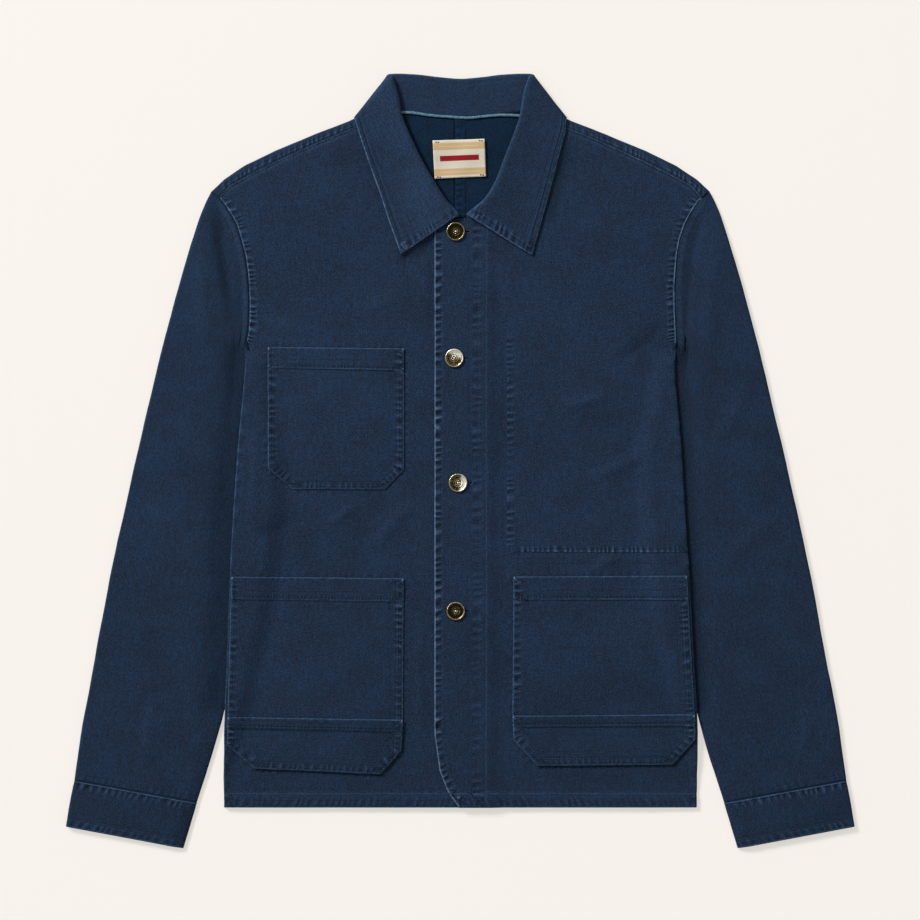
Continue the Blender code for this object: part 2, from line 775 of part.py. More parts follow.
def cut_line(bm, side, start, end, keep=None):
    """Cut a surface upright along a line; with keep, drop what lies on the other side of it."""
    direction = Vector((side * (end[0] - start[0]), end[1] - start[1], 0.0))
    normal = Vector((direction.y, -direction.x, 0.0)).normalized()
    point = Vector((side * start[0], start[1], 0.0))
    if keep and (Vector((side * keep[0], keep[1], 0.0)) - point).dot(normal) > 0:
        normal.negate()
    geom = list(bm.verts) + list(bm.edges) + list(bm.faces)
    bmesh.ops.bisect_plane(
        bm, geom=geom, dist=1e-6, plane_co=point * MM, plane_no=normal, clear_outer=bool(keep))


def on_surface(name, base, side, outline, band, raised, slack):
    """A patch of cloth cut from the points of the piece it lies on, moved out.

    outline is convex, band is the line down to which the cloth is doubled, and slack is how
    far the middle stands away from what is below.
    """
    bm = bmesh.new()
    bm.from_mesh(base.data)
    middle = [sum(c) / len(outline) for c in zip(*outline)]
    for start, end in zip(outline, outline[1:] + outline[:1]):
        cut_line(bm, side, start, end, keep=middle)
    lowered = [(x, y - BAND_STEP) for x, y in band]
    cut_line(bm, side, *band)
    cut_line(bm, side, *lowered)
    layer = bm.verts.layers.deform.verify()
    top = max(y for x, y in outline)
    low = min(y for x, y in outline)
    left = min(x for x, y in outline)
    right = max(x for x, y in outline)
    for vert in bm.verts:
        x = side * vert.co.x / MM
        y = vert.co.y / MM
        share = (x - band[1][0]) / (band[0][0] - band[1][0])
        doubled = y > mix(band[1][1], band[0][1], share) - BAND_STEP / 2
        across = 4 * (x - left) * (right - x) / (right - left) ** 2
        down = 4 * (y - low) * (top - y) / (top - low) ** 2
        rise = LAY_GAP + PLY + raised * doubled + slack * smooth(across) * smooth(down)
        vert.co.z += rise * MM
        vert[layer].clear()
        vert[layer][0] = 1.0 if doubled else PLY / (PLY + raised)
    bmesh.ops.triangulate(bm, faces=bm.faces)
    obj = make_object(name, bm, TWILL, 0.85)
    wall(obj, PLY + raised)
    obj.vertex_groups.new(name="plies")
    obj.modifiers["wall"].vertex_group = "plies"
    return obj


def pockets(fronts):
    """The patch pockets and the reinforcing patches on the lower ones."""
    on_surface("chest_pocket", fronts[-1], -1, CHEST_POCKET, CHEST_BAND, BAND_RAISE, POCKET_SLACK)
    tables = (
        ("right", -1, LOWER_POCKET_RIGHT, LOWER_BAND_RIGHT, PATCH_TOP_RIGHT, PATCH_BAND_RIGHT),
        ("left", 1, LOWER_POCKET_LEFT, LOWER_BAND_LEFT, PATCH_TOP_LEFT, PATCH_BAND_LEFT),
    )
    for name, side, outline, band, patch_top, patch_band in tables:
        lower = on_surface(
            "lower_pocket_" + name, fronts[side], side, outline, band, BAND_RAISE, POCKET_SLACK)
        patch = patch_top + tuple(p for p in outline if p[1] < patch_top[1][1])
        on_surface("pocket_patch_" + name, lower, side, patch, patch_band, BAND_RAISE, 0.0)


def neck_tape():
    """The tape over the back neck seam."""
    rows = [[], []]
    for x, y, width in TAPE:
        z = BACK_STAND + COLLAR_PLY / 2 + LAY_GAP + TRIM_PLY
        rows[0].append((x, y + width / 2, z))
        rows[1].append((x, y - width / 2, z))
    return cloth("neck_tape", rows, TRIM_PLY, color=TAPE_BLUE, flip=True)


def label():
    """The woven label inside the back neck."""
    rows = []
    across, down = LABEL_STEPS
    for row in range(down + 1):
        y = mix(LABEL_Y[0], LABEL_Y[1], row / down)
        z = lift(0.0, y) + FELLED_PLY + LAY_GAP + TRIM_PLY
        rows.append([(mix(LABEL_X[0], LABEL_X[1], k / across), y, z) for k in range(across + 1)])
    return cloth("label", rows, TRIM_PLY, color=LABEL_CREAM, flip=True)


def button(number, x, y):
    """A dished metal button on its shank, which stands on the under front."""
    under = front_top(-1, -x, y)
    cap = under + LAP_HEIGHT + LAY_GAP
    foot = under + SHANK_GAP
    profile = [(0.0, foot), (SHANK_RADIUS, foot), (SHANK_RADIUS, cap)]
    profile += [(BUTTON_RADIUS - inset, cap + height) for inset, height in BUTTON_DISH]
    bm = bmesh.new()
    verts = [bm.verts.new((x * MM + r * MM, y * MM, z * MM)) for r, z in profile]
    edges = [bm.edges.new(pair) for pair in zip(verts, verts[1:])]
    bmesh.ops.spin(
        bm, geom=verts + edges, cent=(x * MM, y * MM, 0.0), axis=(0.0, 0.0, 1.0),
        angle=2 * pi, steps=BUTTON_STEPS, use_merge=True)
    bmesh.ops.remove_doubles(bm, verts=bm.verts, dist=1e-6)
    bmesh.ops.recalc_face_normals(bm, faces=bm.faces)
    return make_object("button_%d" % number, bm, BRASS, 0.32, 1.0)


def cutter(name, bm):
    obj = make_object(name, bm, TWILL, 0.85)
    obj.hide_render = True
    obj.display_type = "WIRE"
    return obj


def buttonholes(panel):
    """Cut a keyhole buttonhole for each shank through the lapped front."""
    bm = bmesh.new()
    for x, y in BUTTONS:
        centre = Vector((x, y, CUTTER_Z)) * MM
        bmesh.ops.create_cone(
            bm, cap_ends=True, segments=16, radius1=EYELET_RADIUS * MM,
            radius2=EYELET_RADIUS * MM, depth=CUTTER_HEIGHT * MM, matrix=Matrix.Translation(centre))
    holes = cutter("eyelets", bm)
    bm = bmesh.new()
    for x, y in BUTTONS:
        centre = Vector((x + BUTTONHOLE_LENGTH / 2, y, CUTTER_Z)) * MM
        size = Vector((BUTTONHOLE_LENGTH, BUTTONHOLE_WIDTH, CUTTER_HEIGHT)) * MM
        bmesh.ops.create_cube(
            bm, size=1.0, matrix=Matrix.Translation(centre) @ Matrix.Diagonal(size).to_4x4())
    slots = cutter("slots", bm)
    for tool in (holes, slots):
        cut = panel.modifiers.new(tool.name, "BOOLEAN")
        cut.operation = "DIFFERENCE"
        cut.solver = "EXACT"
        cut.object = tool


def main():
    for obj in list(bpy.data.objects):
        bpy.data.objects.remove(obj, do_unlink=True)
    fronts = {}
    for side in (-1, 1):
        fronts[side] = front_panel(side)
        back_panel(side)
        sleeve(side)
        cuff(side)
    buttonholes(fronts[1])
    pockets(fronts)
    collar()
    neck_tape()
    label()
    for number, (x, y) in enumerate(BUTTONS, 1):
        button(number, x, y)


main()
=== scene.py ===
import json
from math import atan2, cos, exp, hypot, pi, sin, tau

import bmesh
import bpy
from mathutils import Matrix, Vector, noise
from mathutils.bvhtree import BVHTree

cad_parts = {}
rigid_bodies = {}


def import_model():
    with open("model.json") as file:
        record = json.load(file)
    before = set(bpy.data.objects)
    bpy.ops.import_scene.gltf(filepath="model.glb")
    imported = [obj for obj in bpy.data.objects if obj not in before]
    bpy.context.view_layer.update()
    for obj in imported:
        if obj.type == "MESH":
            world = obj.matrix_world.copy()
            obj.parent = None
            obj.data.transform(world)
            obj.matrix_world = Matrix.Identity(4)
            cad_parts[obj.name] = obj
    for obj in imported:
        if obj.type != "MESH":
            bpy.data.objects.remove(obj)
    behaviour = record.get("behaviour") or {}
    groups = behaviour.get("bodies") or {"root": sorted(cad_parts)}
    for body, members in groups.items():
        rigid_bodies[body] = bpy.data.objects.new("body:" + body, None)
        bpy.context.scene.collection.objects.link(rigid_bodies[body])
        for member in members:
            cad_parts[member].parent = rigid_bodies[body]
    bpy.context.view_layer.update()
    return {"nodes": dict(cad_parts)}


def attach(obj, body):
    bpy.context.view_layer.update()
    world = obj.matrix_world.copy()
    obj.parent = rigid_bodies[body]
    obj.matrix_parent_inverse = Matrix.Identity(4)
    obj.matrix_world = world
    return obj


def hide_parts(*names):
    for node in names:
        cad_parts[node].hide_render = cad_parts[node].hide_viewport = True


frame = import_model()
print("frame loaded:", len(frame["nodes"]), "solids")

mm = 0.001  # every size below is in millimetres

# The tables give one half of the jacket, measured outwards from the centre of the chest.
# The wearer's right half is at -X and the left half at +X, so side is -1 or 1.
cut = {
    "ply": 1.2,
    "hemPly": 2,
    "collarPly": 1.6,
    "trimPly": 1,
    "wall": 0.8,
    "seamGap": 0.5,
    "layGap": 0.4,
    "hemY": -352.9,
    "hemStitch": -339.6,
    "hemTop": (-338, 3),
    "hemFlat": (-300, 40, 0.6),
    "lapEdge": -26.5,
    "lapRamp": (28, 19),
    "loft": 1.2,
    "loftWidth": 70,
    "shoulderLoft": 60,
    "backInset": 2.2,
    "tuckedHeight": 3.4,
    "tuckedLift": 3.9,
    "tuckedClimb": 20,
    "tuckedFade": (8, 22),
    "collarLift": 2.1,
    "collarClimb": (296, 26),
    "collarFade": (124, 40),
    "stripRoll": 2,
    "backLevel": 0.86,
    "felledBand": (-5.5, 6.5),
    "felledPly": 1.7,
}

armhole = (
    # y, right, left
    (267.2, 244.3, 244.3),
    (256, 236.1, 236.1),
    (241.7, 228, 228.5),
    (225.4, 222.9, 222.9),
    (209.1, 218.8, 220.1),
    (192.8, 216.4, 218.8),
    (176.5, 215.2, 217.8),
    (161.2, 214.7, 218),
    (145.9, 214.9, 218.6),
    (131.6, 215.9, 219.2),
    (117.3, 218.8, 219.8),
)
sideEdge = (
    # y, right, left, edge of the lapped front
    (101, 219.4, 218.2, -26.5),
    (80.6, 220.8, 218.9, -26.5),
    (52, 223.4, 221.9, -26.5),
    (11.2, 227, 225.2, -26.5),
    (-39.8, 230.7, 228.4, -26.5),
    (-90.8, 233.8, 231.4, -26.5),
    (-141.8, 235.9, 234.5, -26.5),
    (-192.8, 237.4, 237.4, -26.5),
    (-243.8, 239.8, 240.4, -26.5),
    (-279.5, 241, 241.4, -26.5),
    (-315.2, 241.2, 241.4, -21.4),
    (-337.5, 241.2, 241.3, -12.7),
    (-342, 241.1, 241.2, -9.2),
    (-352.9, 241.2, 241.2, -1.5),
)
shoulder = (
    # fold x, fold y, seam x, seam y
    (254, 274.4, 244.3, 267.2),
    (241.2, 286.6, 235.1, 278.5),
    (220, 301, 214.7, 289.7),
    (189, 316, 184.1, 305),
    (148, 333, 143.3, 323.3),
    (114, 345.9, 109, 337.2),
    (86.4, 358.8, 86, 346.6),
)
lapRows = (243.5, 203, 160.1, 117.3)
backRows = (322, 295, 262, 205, 117.3)

collarBack = (
    # seam x, seam y, roll x, roll y, edge x, edge y
    (0, 349.3, 0, 388.6, 0, 331),
    (20.9, 349.9, 20.9, 390.2, 24, 331),
    (41.3, 351.9, 40.3, 392.7, 49.5, 332),
    (59.7, 354.5, 55.6, 393.7, 74, 336.1),
    (73.9, 356.5, 64.8, 393.9, 94.4, 341.7),
    (82.9, 357.5, 70.9, 393.5, 107, 348.6),
)
collarFrontRight = (
    (83, 356, 70.4, 391, 107.6, 347.4),
    (84.6, 346.8, 64.3, 373.3, 103.5, 333.5),
    (82.1, 333.5, 59.7, 349.9, 97.4, 315.2),
    (74, 313.1, 50.5, 328.4, 90.3, 294.8),
    (59.7, 289.7, 40.3, 307, 82.1, 272.3),
    (40.3, 269.3, 28.1, 285.6, 75, 249.9),
    (19.9, 255, 14.8, 265.2, 67.8, 229.5),
    (2.6, 248.4, 1, 250.7, 60.7, 210.1),
)
collarFrontLeft = (
    (83, 356, 70.4, 391, 107.6, 347.4),
    (84.6, 346.8, 64.8, 373.3, 106.6, 333.5),
    (82.1, 333.5, 60.7, 349.9, 101.5, 315.2),
    (74, 313.1, 53.6, 329.5, 96.4, 294.8),
    (60.7, 290.7, 45.9, 310.1, 90.3, 272.3),
    (45.4, 271.3, 38.3, 289.7, 84.2, 249.9),
    (28.6, 256.5, 26.5, 268.3, 78.5, 229.5),
    (7.6, 247.9, 6.1, 250.4, 72.9, 209.1),
)
collarCrease = (
    # seam x, seam y, stand x, stand y, roll x, roll y, leaf x, leaf y, edge x, edge y
    (84.2, 357.8, 71.6, 389.8, 73.8, 392.8, 76.2, 389.8, 107.8, 348.6),
)

sleeveRings = (
    # outer x, outer y, inner x, inner y, height, curve, swing
    (259.1, 264.7, 208.2, 106, 3.2, 0.9, 17),
    (265.1, 250, 206.8, 96, 4.2, 0.65, 18),
    (271.7, 230, 205.8, 85, 4.8, 0.4, 18),
    (280, 203, 205.5, 72, 5, 0.15, 17),
    (290, 168, 206.5, 57, 5, 0, 14.5),
    (300.4, 128.8, 205.5, 40, 5, 0, 11),
    (310.1, 90, 205, 20, 5, 0, 7.5),
    (319.7, 50, 205, -5, 5, 0, 3),
    (329.8, 8, 205, -42, 5, 0, 1),
    (340.5, -40, 208, -84, 5, 0, 0),
    (351.8, -92, 213.5, -128, 5, 0, 0),
    (363.2, -150, 222.5, -180, 5, 0, 0),
    (374, -209, 235.5, -236, 5, 0, 0),
    (384.9, -268, 251.5, -294, 5, 0, 0),
    (393.2, -324.9, 268.5, -347.8, 4.6, 0, 0),
    (393.5, -327.4, 269.3, -350.3, 3.8, 0, 0),
)
cuffRings = (
    # outer x, outer y, inner x, inner y
    (393.4, -325.7, 268.6, -348.6),
    (397.6, -346, 275.4, -371),
    (401.9, -372.3, 282.6, -394.7),
)


def smooth(t):
    t = min(1, max(0, t))
    return t * t * (3 - 2 * t)


def mix(a, b, t):
    return a + (b - a) * t


def mixRows(a, b, t):
    return tuple(mix(p, q, t) for p, q in zip(a, b))


def gap(a, b):
    return hypot(b[0] - a[0], b[1] - a[1])


def spaceGap(a, b):
    return (Vector(a) - Vector(b)).length


def along(table, t):  # the row at share t of a table's length
    steps = [gap(a, b) for a, b in zip(table, table[1:])]
    target = min(1, max(0, t)) * sum(steps)
    for index, step in enumerate(steps):
        if target <= step or index == len(steps) - 1:
            return mixRows(table[index], table[index + 1], target / step)
        target -= step


def valueAt(table, y):  # second column where the first one falls from row to row
    if y >= table[0][0]:
        return table[0][1]
    for upper, lower in zip(table, table[1:]):
        if y >= lower[0]:
            return mix(upper[1], lower[1], (upper[0] - y) / (upper[0] - lower[0]))
    return table[-1][1]


def away(point, other, distance):
    dx, dy = point[0] - other[0], point[1] - other[1]
    length = hypot(dx, dy)
    return (point[0] + dx / length * distance, point[1] + dy / length * distance)


def normalsOut(points):  # across a path, to its left
    result = []
    for index in range(len(points)):
        a, b = points[max(0, index - 1)], points[min(len(points) - 1, index + 1)]
        length = gap(a, b)
        result.append(((a[1] - b[1]) / length, (b[0] - a[0]) / length))
    return result


def offsetPath(points, distance):
    if not distance:
        return points
    normals = normalsOut(points)
    return [(x + nx * distance, y + ny * distance) for (x, y), (nx, ny) in zip(points, normals)]


def flatOf(rows, side=1):
    return [[(side * point[0], point[1]) for point in row] for row in rows]


def mirrored(rows, side):
    return [[(side * x, y, z) for x, y, z in row] for row in rows]


def sided(kind, side):
    return kind + ("_right" if side < 0 else "_left")


def pathOf(table, side):  # one half's column of a table of heights
    return [(row[1 if side < 0 else 2], row[0]) for row in table]


def splineRow(a, b, c, d, t):  # Catmull-Rom between b and c
    return tuple(
        0.5 * (2 * q + (r - p) * t + (2 * p - 5 * q + 4 * r - s) * t * t
               + (3 * q - p - 3 * r + s) * t ** 3)
        for p, q, r, s in zip(a, b, c, d))


def refine(points, cuts, closed=False):  # more points on a smooth line through the given ones
    count = len(points)
    result = []
    for index in range(count if closed else count - 1):
        if closed:
            four = [points[(index + k) % count] for k in (-1, 0, 1, 2)]
        else:
            four = [points[min(count - 1, max(0, index + k))] for k in (-1, 0, 1, 2)]
        result += [splineRow(*four, k / cuts[index]) for k in range(cuts[index])]
    return result if closed else result + [points[-1]]


# The form of the body, as the solids have it
sides = (-1, 1)
armholePath = {side: pathOf(armhole, side) for side in sides}
sidePath = {side: pathOf(sideEdge, side) for side in sides}
edges = {side: [(y, x) for x, y in armholePath[side] + sidePath[side]] for side in sides}
underarm = armhole[-1][0]
shoulderFold, shoulderSeam = [row[:2] for row in shoulder], [row[2:] for row in shoulder]
lapLine = [(row[3], row[0]) for row in sideEdge]
tuckedTo = (219.9, 219.4, 218, 216.5, 213.5, 209.5, 206.5)  # where the sleeve still lifts the body
sleeveInner = [(row[3], x) for row, x in zip(sleeveRings, tuckedTo)]
sleeveInner += [(row[3], row[2]) for row in sleeveRings[len(tuckedTo):]]


def bodyEdge(side, y):
    return valueAt(edges[side], y)


def lift(x, y):  # what lies under the back: the sleeve at the side, the collar on top
    inside = valueAt(sleeveInner, y) - x
    climb = smooth((underarm - y) / cut["tuckedClimb"])
    tucked = climb * (1 - smooth((inside - cut["tuckedFade"][0]) / cut["tuckedFade"][1]))
    low = smooth((y - cut["collarClimb"][0]) / cut["collarClimb"][1])
    across = 1 - smooth((x - cut["collarFade"][0]) / cut["collarFade"][1])
    return max(cut["tuckedLift"] * tucked, cut["collarLift"] * low * across)


def frontTop(side, x, y):  # outer face of a front
    fromSide = bodyEdge(side, y) - x
    above = smooth((y - underarm) / cut["shoulderLoft"])
    loft = cut["loft"] * max(smooth(fromSide / cut["loftWidth"]), above)
    hem = 2 * (cut["hemPly"] - cut["ply"]) * smooth((cut["hemTop"][0] - y) / cut["hemTop"][1])
    loft *= 1 - cut["hemFlat"][2] * smooth((cut["hemFlat"][0] - y) / cut["hemFlat"][1])
    height = lift(x, y) + 2 * cut["ply"] + cut["layGap"] + loft + hem
    if side > 0:
        lapped = 1 - smooth((x - cut["lapRamp"][0]) / cut["lapRamp"][1])
        height += lapped * (cut["ply"] + cut["layGap"] + hem / 2)
    return height + foldRise(frontFolds[side], x, y)


# Soft folds pressed into the fronts by lying flat
frontFolds = {
    -1: (
        # x, y, length, direction, width, height
        (123, -56, 90, 35, 26, 1.2),
        (150, 60, 80, -60, 30, 0.9),
    ),
    1: (
        (124, 59, 90, 15, 28, 1.2),
        (145, -106, 80, 40, 28, 1.1),
    ),
}


def foldRise(table, x, y):
    total = 0
    for foldX, foldY, length, direction, width, height in table:
        dx, dy = x - foldX, y - foldY
        if abs(dx) + abs(dy) > length + width:
            continue
        angle = direction * pi / 180
        run = dx * cos(angle) + dy * sin(angle)
        off = dy * cos(angle) - dx * sin(angle)
        total += height * (1 - smooth(abs(run) / (length / 2))) * (1 - smooth(abs(off) / width))
    return total


# Marks on a cloth: lines along which it is folded, puckered, sewn or rubbed. Each takes a
# path in the piece's own measures; distances are positive on the left of the path.
relief = (
    # span across, span down, seed more, height
    (60, 78, 0, 1),
    (22, 28, 5, 0.5),
    (8, 9, 8, 0.17),
)
ruffle = {
    "drift": (1.3, 3.1, 3.7, 0.4),  # how far puckers wander: amount, pitches, seed, slice
    "swell": (0.9, 2.3, 5.1, 2.6),  # and how much their strength varies
    "power": (0.95, 0.4, 1.3),  # middle, least, most
    "rise": 0.2,
    "groove": (0.14, 1.6),  # depth and width of a sewn line
    "sharp": 1.6,
}
unmarked = (9, 0, 0)


def mark(kind, points, reach, **more):
    points = [tuple(p[:2]) for p in points]
    starts = [0]
    for a, b in zip(points, points[1:]):
        starts.append(starts[-1] + gap(a, b))
    xs, ys = [p[0] for p in points], [p[1] for p in points]
    box = (min(xs) - reach, max(xs) + reach, min(ys) - reach, max(ys) + reach)
    return dict(more, kind=kind, points=points, starts=starts, reach=reach, box=box)


# pale is how much paler a fold's ridge and darker its crease are drawn per millimetre of rise: painted
# highlight and painted shade
def fold(points, rise, width, fade=0, pale=0.1):
    return mark("fold", points, 2.2 * width, rise=rise, width=width, fade=fade, pale=pale)


def pucker(points, low, high, power, pitch=7.6, lean=0, seed=0, fade=6):
    reach = max(abs(low), abs(high)) + 3
    return mark("pucker", points, reach, low=low, high=high, power=power, pitch=pitch, lean=lean,
                seed=seed, fade=fade)


def sewn(points, power=1, offset=0):
    return mark("sewn", offsetPath(points, offset), 7, power=power, fade=0)


def worn(points, power, rub=1.2, offset=0, fade=0):
    return mark("worn", offsetPath(points, offset), max(7, 3 * rub), power=power, rub=rub, fade=fade)


def nearMark(spec, x, y):  # signed distance from a mark and the run along it
    low, high, bottom, top = spec["box"]
    if not (low <= x <= high and bottom <= y <= top):
        return None
    best = None
    points = spec["points"]
    for index in range(len(points) - 1):
        ax, ay = points[index]
        dx, dy = points[index + 1][0] - ax, points[index + 1][1] - ay
        t = min(1, max(0, ((x - ax) * dx + (y - ay) * dy) / (dx * dx + dy * dy)))
        ox, oy = x - ax - dx * t, y - ay - dy * t
        square = ox * ox + oy * oy
        if best is None or square < best[0]:
            best = (square, index, t, dx * oy - dy * ox)
    distance = best[0] ** 0.5
    if distance > spec["reach"]:
        return None
    run = mix(spec["starts"][best[1]], spec["starts"][best[1] + 1], best[2])
    return (distance if best[3] >= 0 else -distance), run


def readMarks(look, x, y):  # relief of a place, the three marks that the cloth's finish draws, and its painted light and shade with the piece's own tone
    seed = look["seed"]
    rise = look["swell"] * sum(
        height * noise.noise((x / wide, y / tall, seed + more)) for wide, tall, more, height in relief)
    drawn = {"pucker": unmarked, "sewn": unmarked, "worn": unmarked}
    paintedLightAndTone = look.get("paintedLightAndTone", 0)
    for spec in look["marks"]:
        found = nearMark(spec, x, y)
        if not found:
            continue
        distance, run = found
        kind, fade = spec["kind"], 1
        if spec["fade"]:
            fade = smooth(min(run, spec["starts"][-1] - run) / spec["fade"])
        if kind == "fold":
            ridge = fade * spec["rise"] * exp(-(distance / spec["width"]) ** 2 * ruffle["sharp"])
            rise += ridge
            # painted highlight on a fold's ridge, painted shade in its crease
            paintedLightAndTone += spec["pale"] * ridge
            continue
        off, phase, power = distance, run, fade * spec["power"]
        if kind == "worn":
            off = distance / spec["rub"]
        elif kind == "pucker":
            off = (2 * distance - spec["low"] - spec["high"]) / (spec["high"] - spec["low"])
            if abs(spec["low"]) > abs(spec["high"]):
                off = -off
        if abs(off) >= abs(drawn[kind][0]):
            continue
        if kind == "pucker":
            pitch, own = spec["pitch"], spec["seed"]
            amount, pitches, step, part = ruffle["drift"]
            drift = amount * noise.noise((run / (pitch * pitches), own * step, part))
            phase = (run + spec["lean"] * distance) / pitch + drift
            amount, pitches, step, part = ruffle["swell"]
            swell = amount * noise.noise((run / (pitch * pitches), own * step + 9, part))
            middle, least, most = ruffle["power"]
            power *= min(most, max(least, middle + swell))
        drawn[kind] = (off, phase, power)
    across, phase, power = drawn["pucker"]
    window = smooth((1.1 + across) / 0.4) * smooth((1.1 - across) / 1.3)
    rise += ruffle["rise"] * power * window * sin(tau * phase)
    depth, width = ruffle["groove"]
    rise -= depth * drawn["sewn"][2] * exp(-(drawn["sewn"][0] / width) ** 2)
    return rise, drawn, paintedLightAndTone


# Materials. The helpers add their node to the tree that a wire among their values comes from.
def isWire(value):
    return isinstance(value, bpy.types.NodeSocket)


def feed(node, inputs):  # colours are given without their alpha, which is 1
    for name, value in inputs.items():
        socket = node.inputs[name]
        if isWire(value):
            node.id_data.links.new(value, socket)
        else:
            socket.default_value = tuple(value) + (1,) if socket.type == "RGBA" else value


def addNode(tree, kind, inputs=None, **settings):
    made = tree.nodes.new(kind)
    for name, value in settings.items():
        setattr(made, name, value)
    feed(made, inputs or {})
    return made


def onWire(kind, inputs, **settings):
    wire = next(value for value in inputs.values() if isWire(value))
    return addNode(wire.id_data, "ShaderNode" + kind, inputs, **settings).outputs


def placeOn(tree, output):
    return addNode(tree, "ShaderNodeTexCoord").outputs[output]


def attribute(tree, name, output="Fac"):
    return addNode(tree, "ShaderNodeAttribute", attribute_name=name).outputs[output]


def maths(operation, a, b=0, c=0):
    return onWire("Math", {0: a, 1: b, 2: c}, operation=operation)[0]


def madd(a, b, c):  # a times b, and c
    return maths("MULTIPLY_ADD", a, b, c)


def times(*values):
    result = values[0]
    for value in values[1:]:
        result = maths("MULTIPLY", result, value)
    return result


def weighted(total, *parts):
    for part, weight in parts:
        total = madd(part, weight, total)
    return total


def vectorMaths(operation, inputs):
    return onWire("VectorMath", inputs, operation=operation)


def axesOf(vector):
    return onWire("SeparateXYZ", {0: vector})


def vectorOf(x, y, z):
    return onWire("CombineXYZ", {0: x, 1: y, 2: z})[0]


def stretched(vector, x, y, z=1, turn=0):
    return onWire("Mapping", {"Vector": vector, "Scale": (x, y, z), "Rotation": (0, 0, turn)})[0]


def grain(vector, scale, levels=3, roughness=0.55):
    inputs = {"Vector": vector, "Scale": scale, "Detail": levels, "Roughness": roughness}
    return maths("SUBTRACT", onWire("TexNoise", inputs)["Fac"], 0.5)


def wave(vector, inputs, direction="X"):
    return onWire("TexWave", dict(inputs, Vector=vector), bands_direction=direction)["Fac"]


def blend(share, a, b):
    return onWire("Mix", {0: share, 6: a, 7: b}, data_type="RGBA")[2]


def ease(value, low, high, start=0, end=1):
    ends = {"Value": value, "From Min": low, "From Max": high, "To Min": start, "To Max": end}
    return onWire("MapRange", ends, interpolation_type="SMOOTHSTEP")["Result"]


def bumped(height):
    return onWire("Bump", {"Height": height, "Distance": mm, "Strength": 1})["Normal"]


def makeGroup(name, inputs, outputs):
    group = bpy.data.node_groups.new(name, "ShaderNodeTree")
    for key, kind in inputs:
        group.interface.new_socket(key, in_out="INPUT", socket_type="NodeSocket" + kind)
    for key, kind in outputs:
        group.interface.new_socket(key, in_out="OUTPUT", socket_type="NodeSocket" + kind)
    return group, addNode(group, "NodeGroupInput")


def makeWeave():  # the bare cloth, patterned in millimetres of the flat piece
    group, given = makeGroup(
        "twill weave", (("Cloth", "Vector"), ("Place", "Vector")),
        (("Tone", "Float"), ("Blue", "Float"), ("Height", "Float"), ("Fleck", "Float")))
    place = given.outputs["Place"]
    cloth = stretched(given.outputs["Cloth"], 1000, 1000)
    turned = stretched(cloth, 1, 1, turn=1.05)
    wale = wave(turned, {"Scale": 0.31, "Distortion": 1.4, "Detail": 2, "Detail Scale": 1.3})
    wale = maths("SUBTRACT", wale, 0.5)
    fine = grain(cloth, 1.7, 1)
    fleck = grain(cloth, 0.62, 2, 0.65)
    slub = grain(stretched(cloth, 1, 0.07), 0.75, 2)
    crinkle = grain(stretched(cloth, 1, 0.75), 0.2, 3, 0.6)
    cloud = grain(place, 30, 4, 0.6)
    broad = grain(place, 7, 2)
    tone = weighted(
        madd(fleck, 2.3, 1), (fine, 1.1), (slub, 0.6), (crinkle, 0.55), (cloud, 0.4), (broad, 0.35),
        (wale, 0.14))
    blueness = weighted(times(cloud, 0.45), (fleck, 0.5), (crinkle, 0.7))
    height = weighted(times(wale, 0.05), (fine, 0.05), (fleck, 0.16), (crinkle, 0.35), (cloud, 0.6))
    addNode(group, "NodeGroupOutput", {
        "Tone": tone, "Blue": ease(blueness, -0.14, 0.16), "Height": height, "Fleck": fleck})
    return group


def makeMarks():  # puckers, sewn grooves and rubbed edges, with painted shade in the puckers' troughs, from the three marks of a place
    group, given = makeGroup(
        "cloth marks",
        (("Pucker", "Vector"), ("Sewn", "Vector"), ("Worn", "Vector"), ("Fleck", "Float")),
        (("Rub", "Float"), ("Shade", "Float"), ("Height", "Float")))
    across, phase, power = axesOf(given.outputs["Pucker"])
    seam = axesOf(given.outputs["Sewn"])
    wornAt, wornRun, wornPower = axesOf(given.outputs["Worn"])
    spot = vectorOf(phase, across, power)
    uneven = grain(stretched(spot, 0.9, 0.35, 0), 1, 2)
    bend = grain(stretched(spot, 0.6, 0.3, 0), 1, 1)
    far = madd(uneven, 2.4, across)
    force = maths("MINIMUM", 1.6, maths("MAXIMUM", 0.55, madd(uneven, 1.8, 1.05)))
    window = times(ease(across, -1.12, -0.85), ease(far, 1.05, 0), power, force)
    ripple = maths("SINE", times(madd(bend, 0.55, phase), tau))
    crest = ease(ripple, 0.25, 1)
    notch = times(ease(ripple, -0.2, -0.95), ease(across, 0.9, -0.9))
    edge = ease(maths("ABSOLUTE", wornAt), 1, 0.15)
    patch = madd(grain(vectorOf(wornRun, wornPower, 0), 0.11, 4, 0.75), 2.6, 0.95)
    rub = madd(times(crest, window), 0.5, times(edge, patch, wornPower))
    rub = madd(given.outputs["Fleck"], times(rub, 1.3), rub)
    groove = times(ease(maths("ABSOLUTE", seam[0]), 1.5, 0.2), seam[2])
    # painted shade: darker in the troughs of the puckers, and darker along sewn lines
    shade = madd(groove, -0.22, madd(times(notch, window), -0.46, 1))
    height = madd(groove, -0.32, times(times(ripple, window), 0.36))
    addNode(group, "NodeGroupOutput", {"Rub": rub, "Shade": shade, "Height": height})
    return group


finishes = {
    # as dyed, where it is bluer, rubbed, worn pale
    "twill": (
        (0.0152, 0.0276, 0.056), (0.0128, 0.03, 0.066), (0.05, 0.104, 0.205), (0.1, 0.15, 0.23)),
    "twill inside": (
        (0.005, 0.0165, 0.0375), (0.0042, 0.018, 0.044), (0.016, 0.055, 0.12), (0.016, 0.055, 0.12)),
}
weaveGroup = makeWeave()
marksGroup = makeMarks()


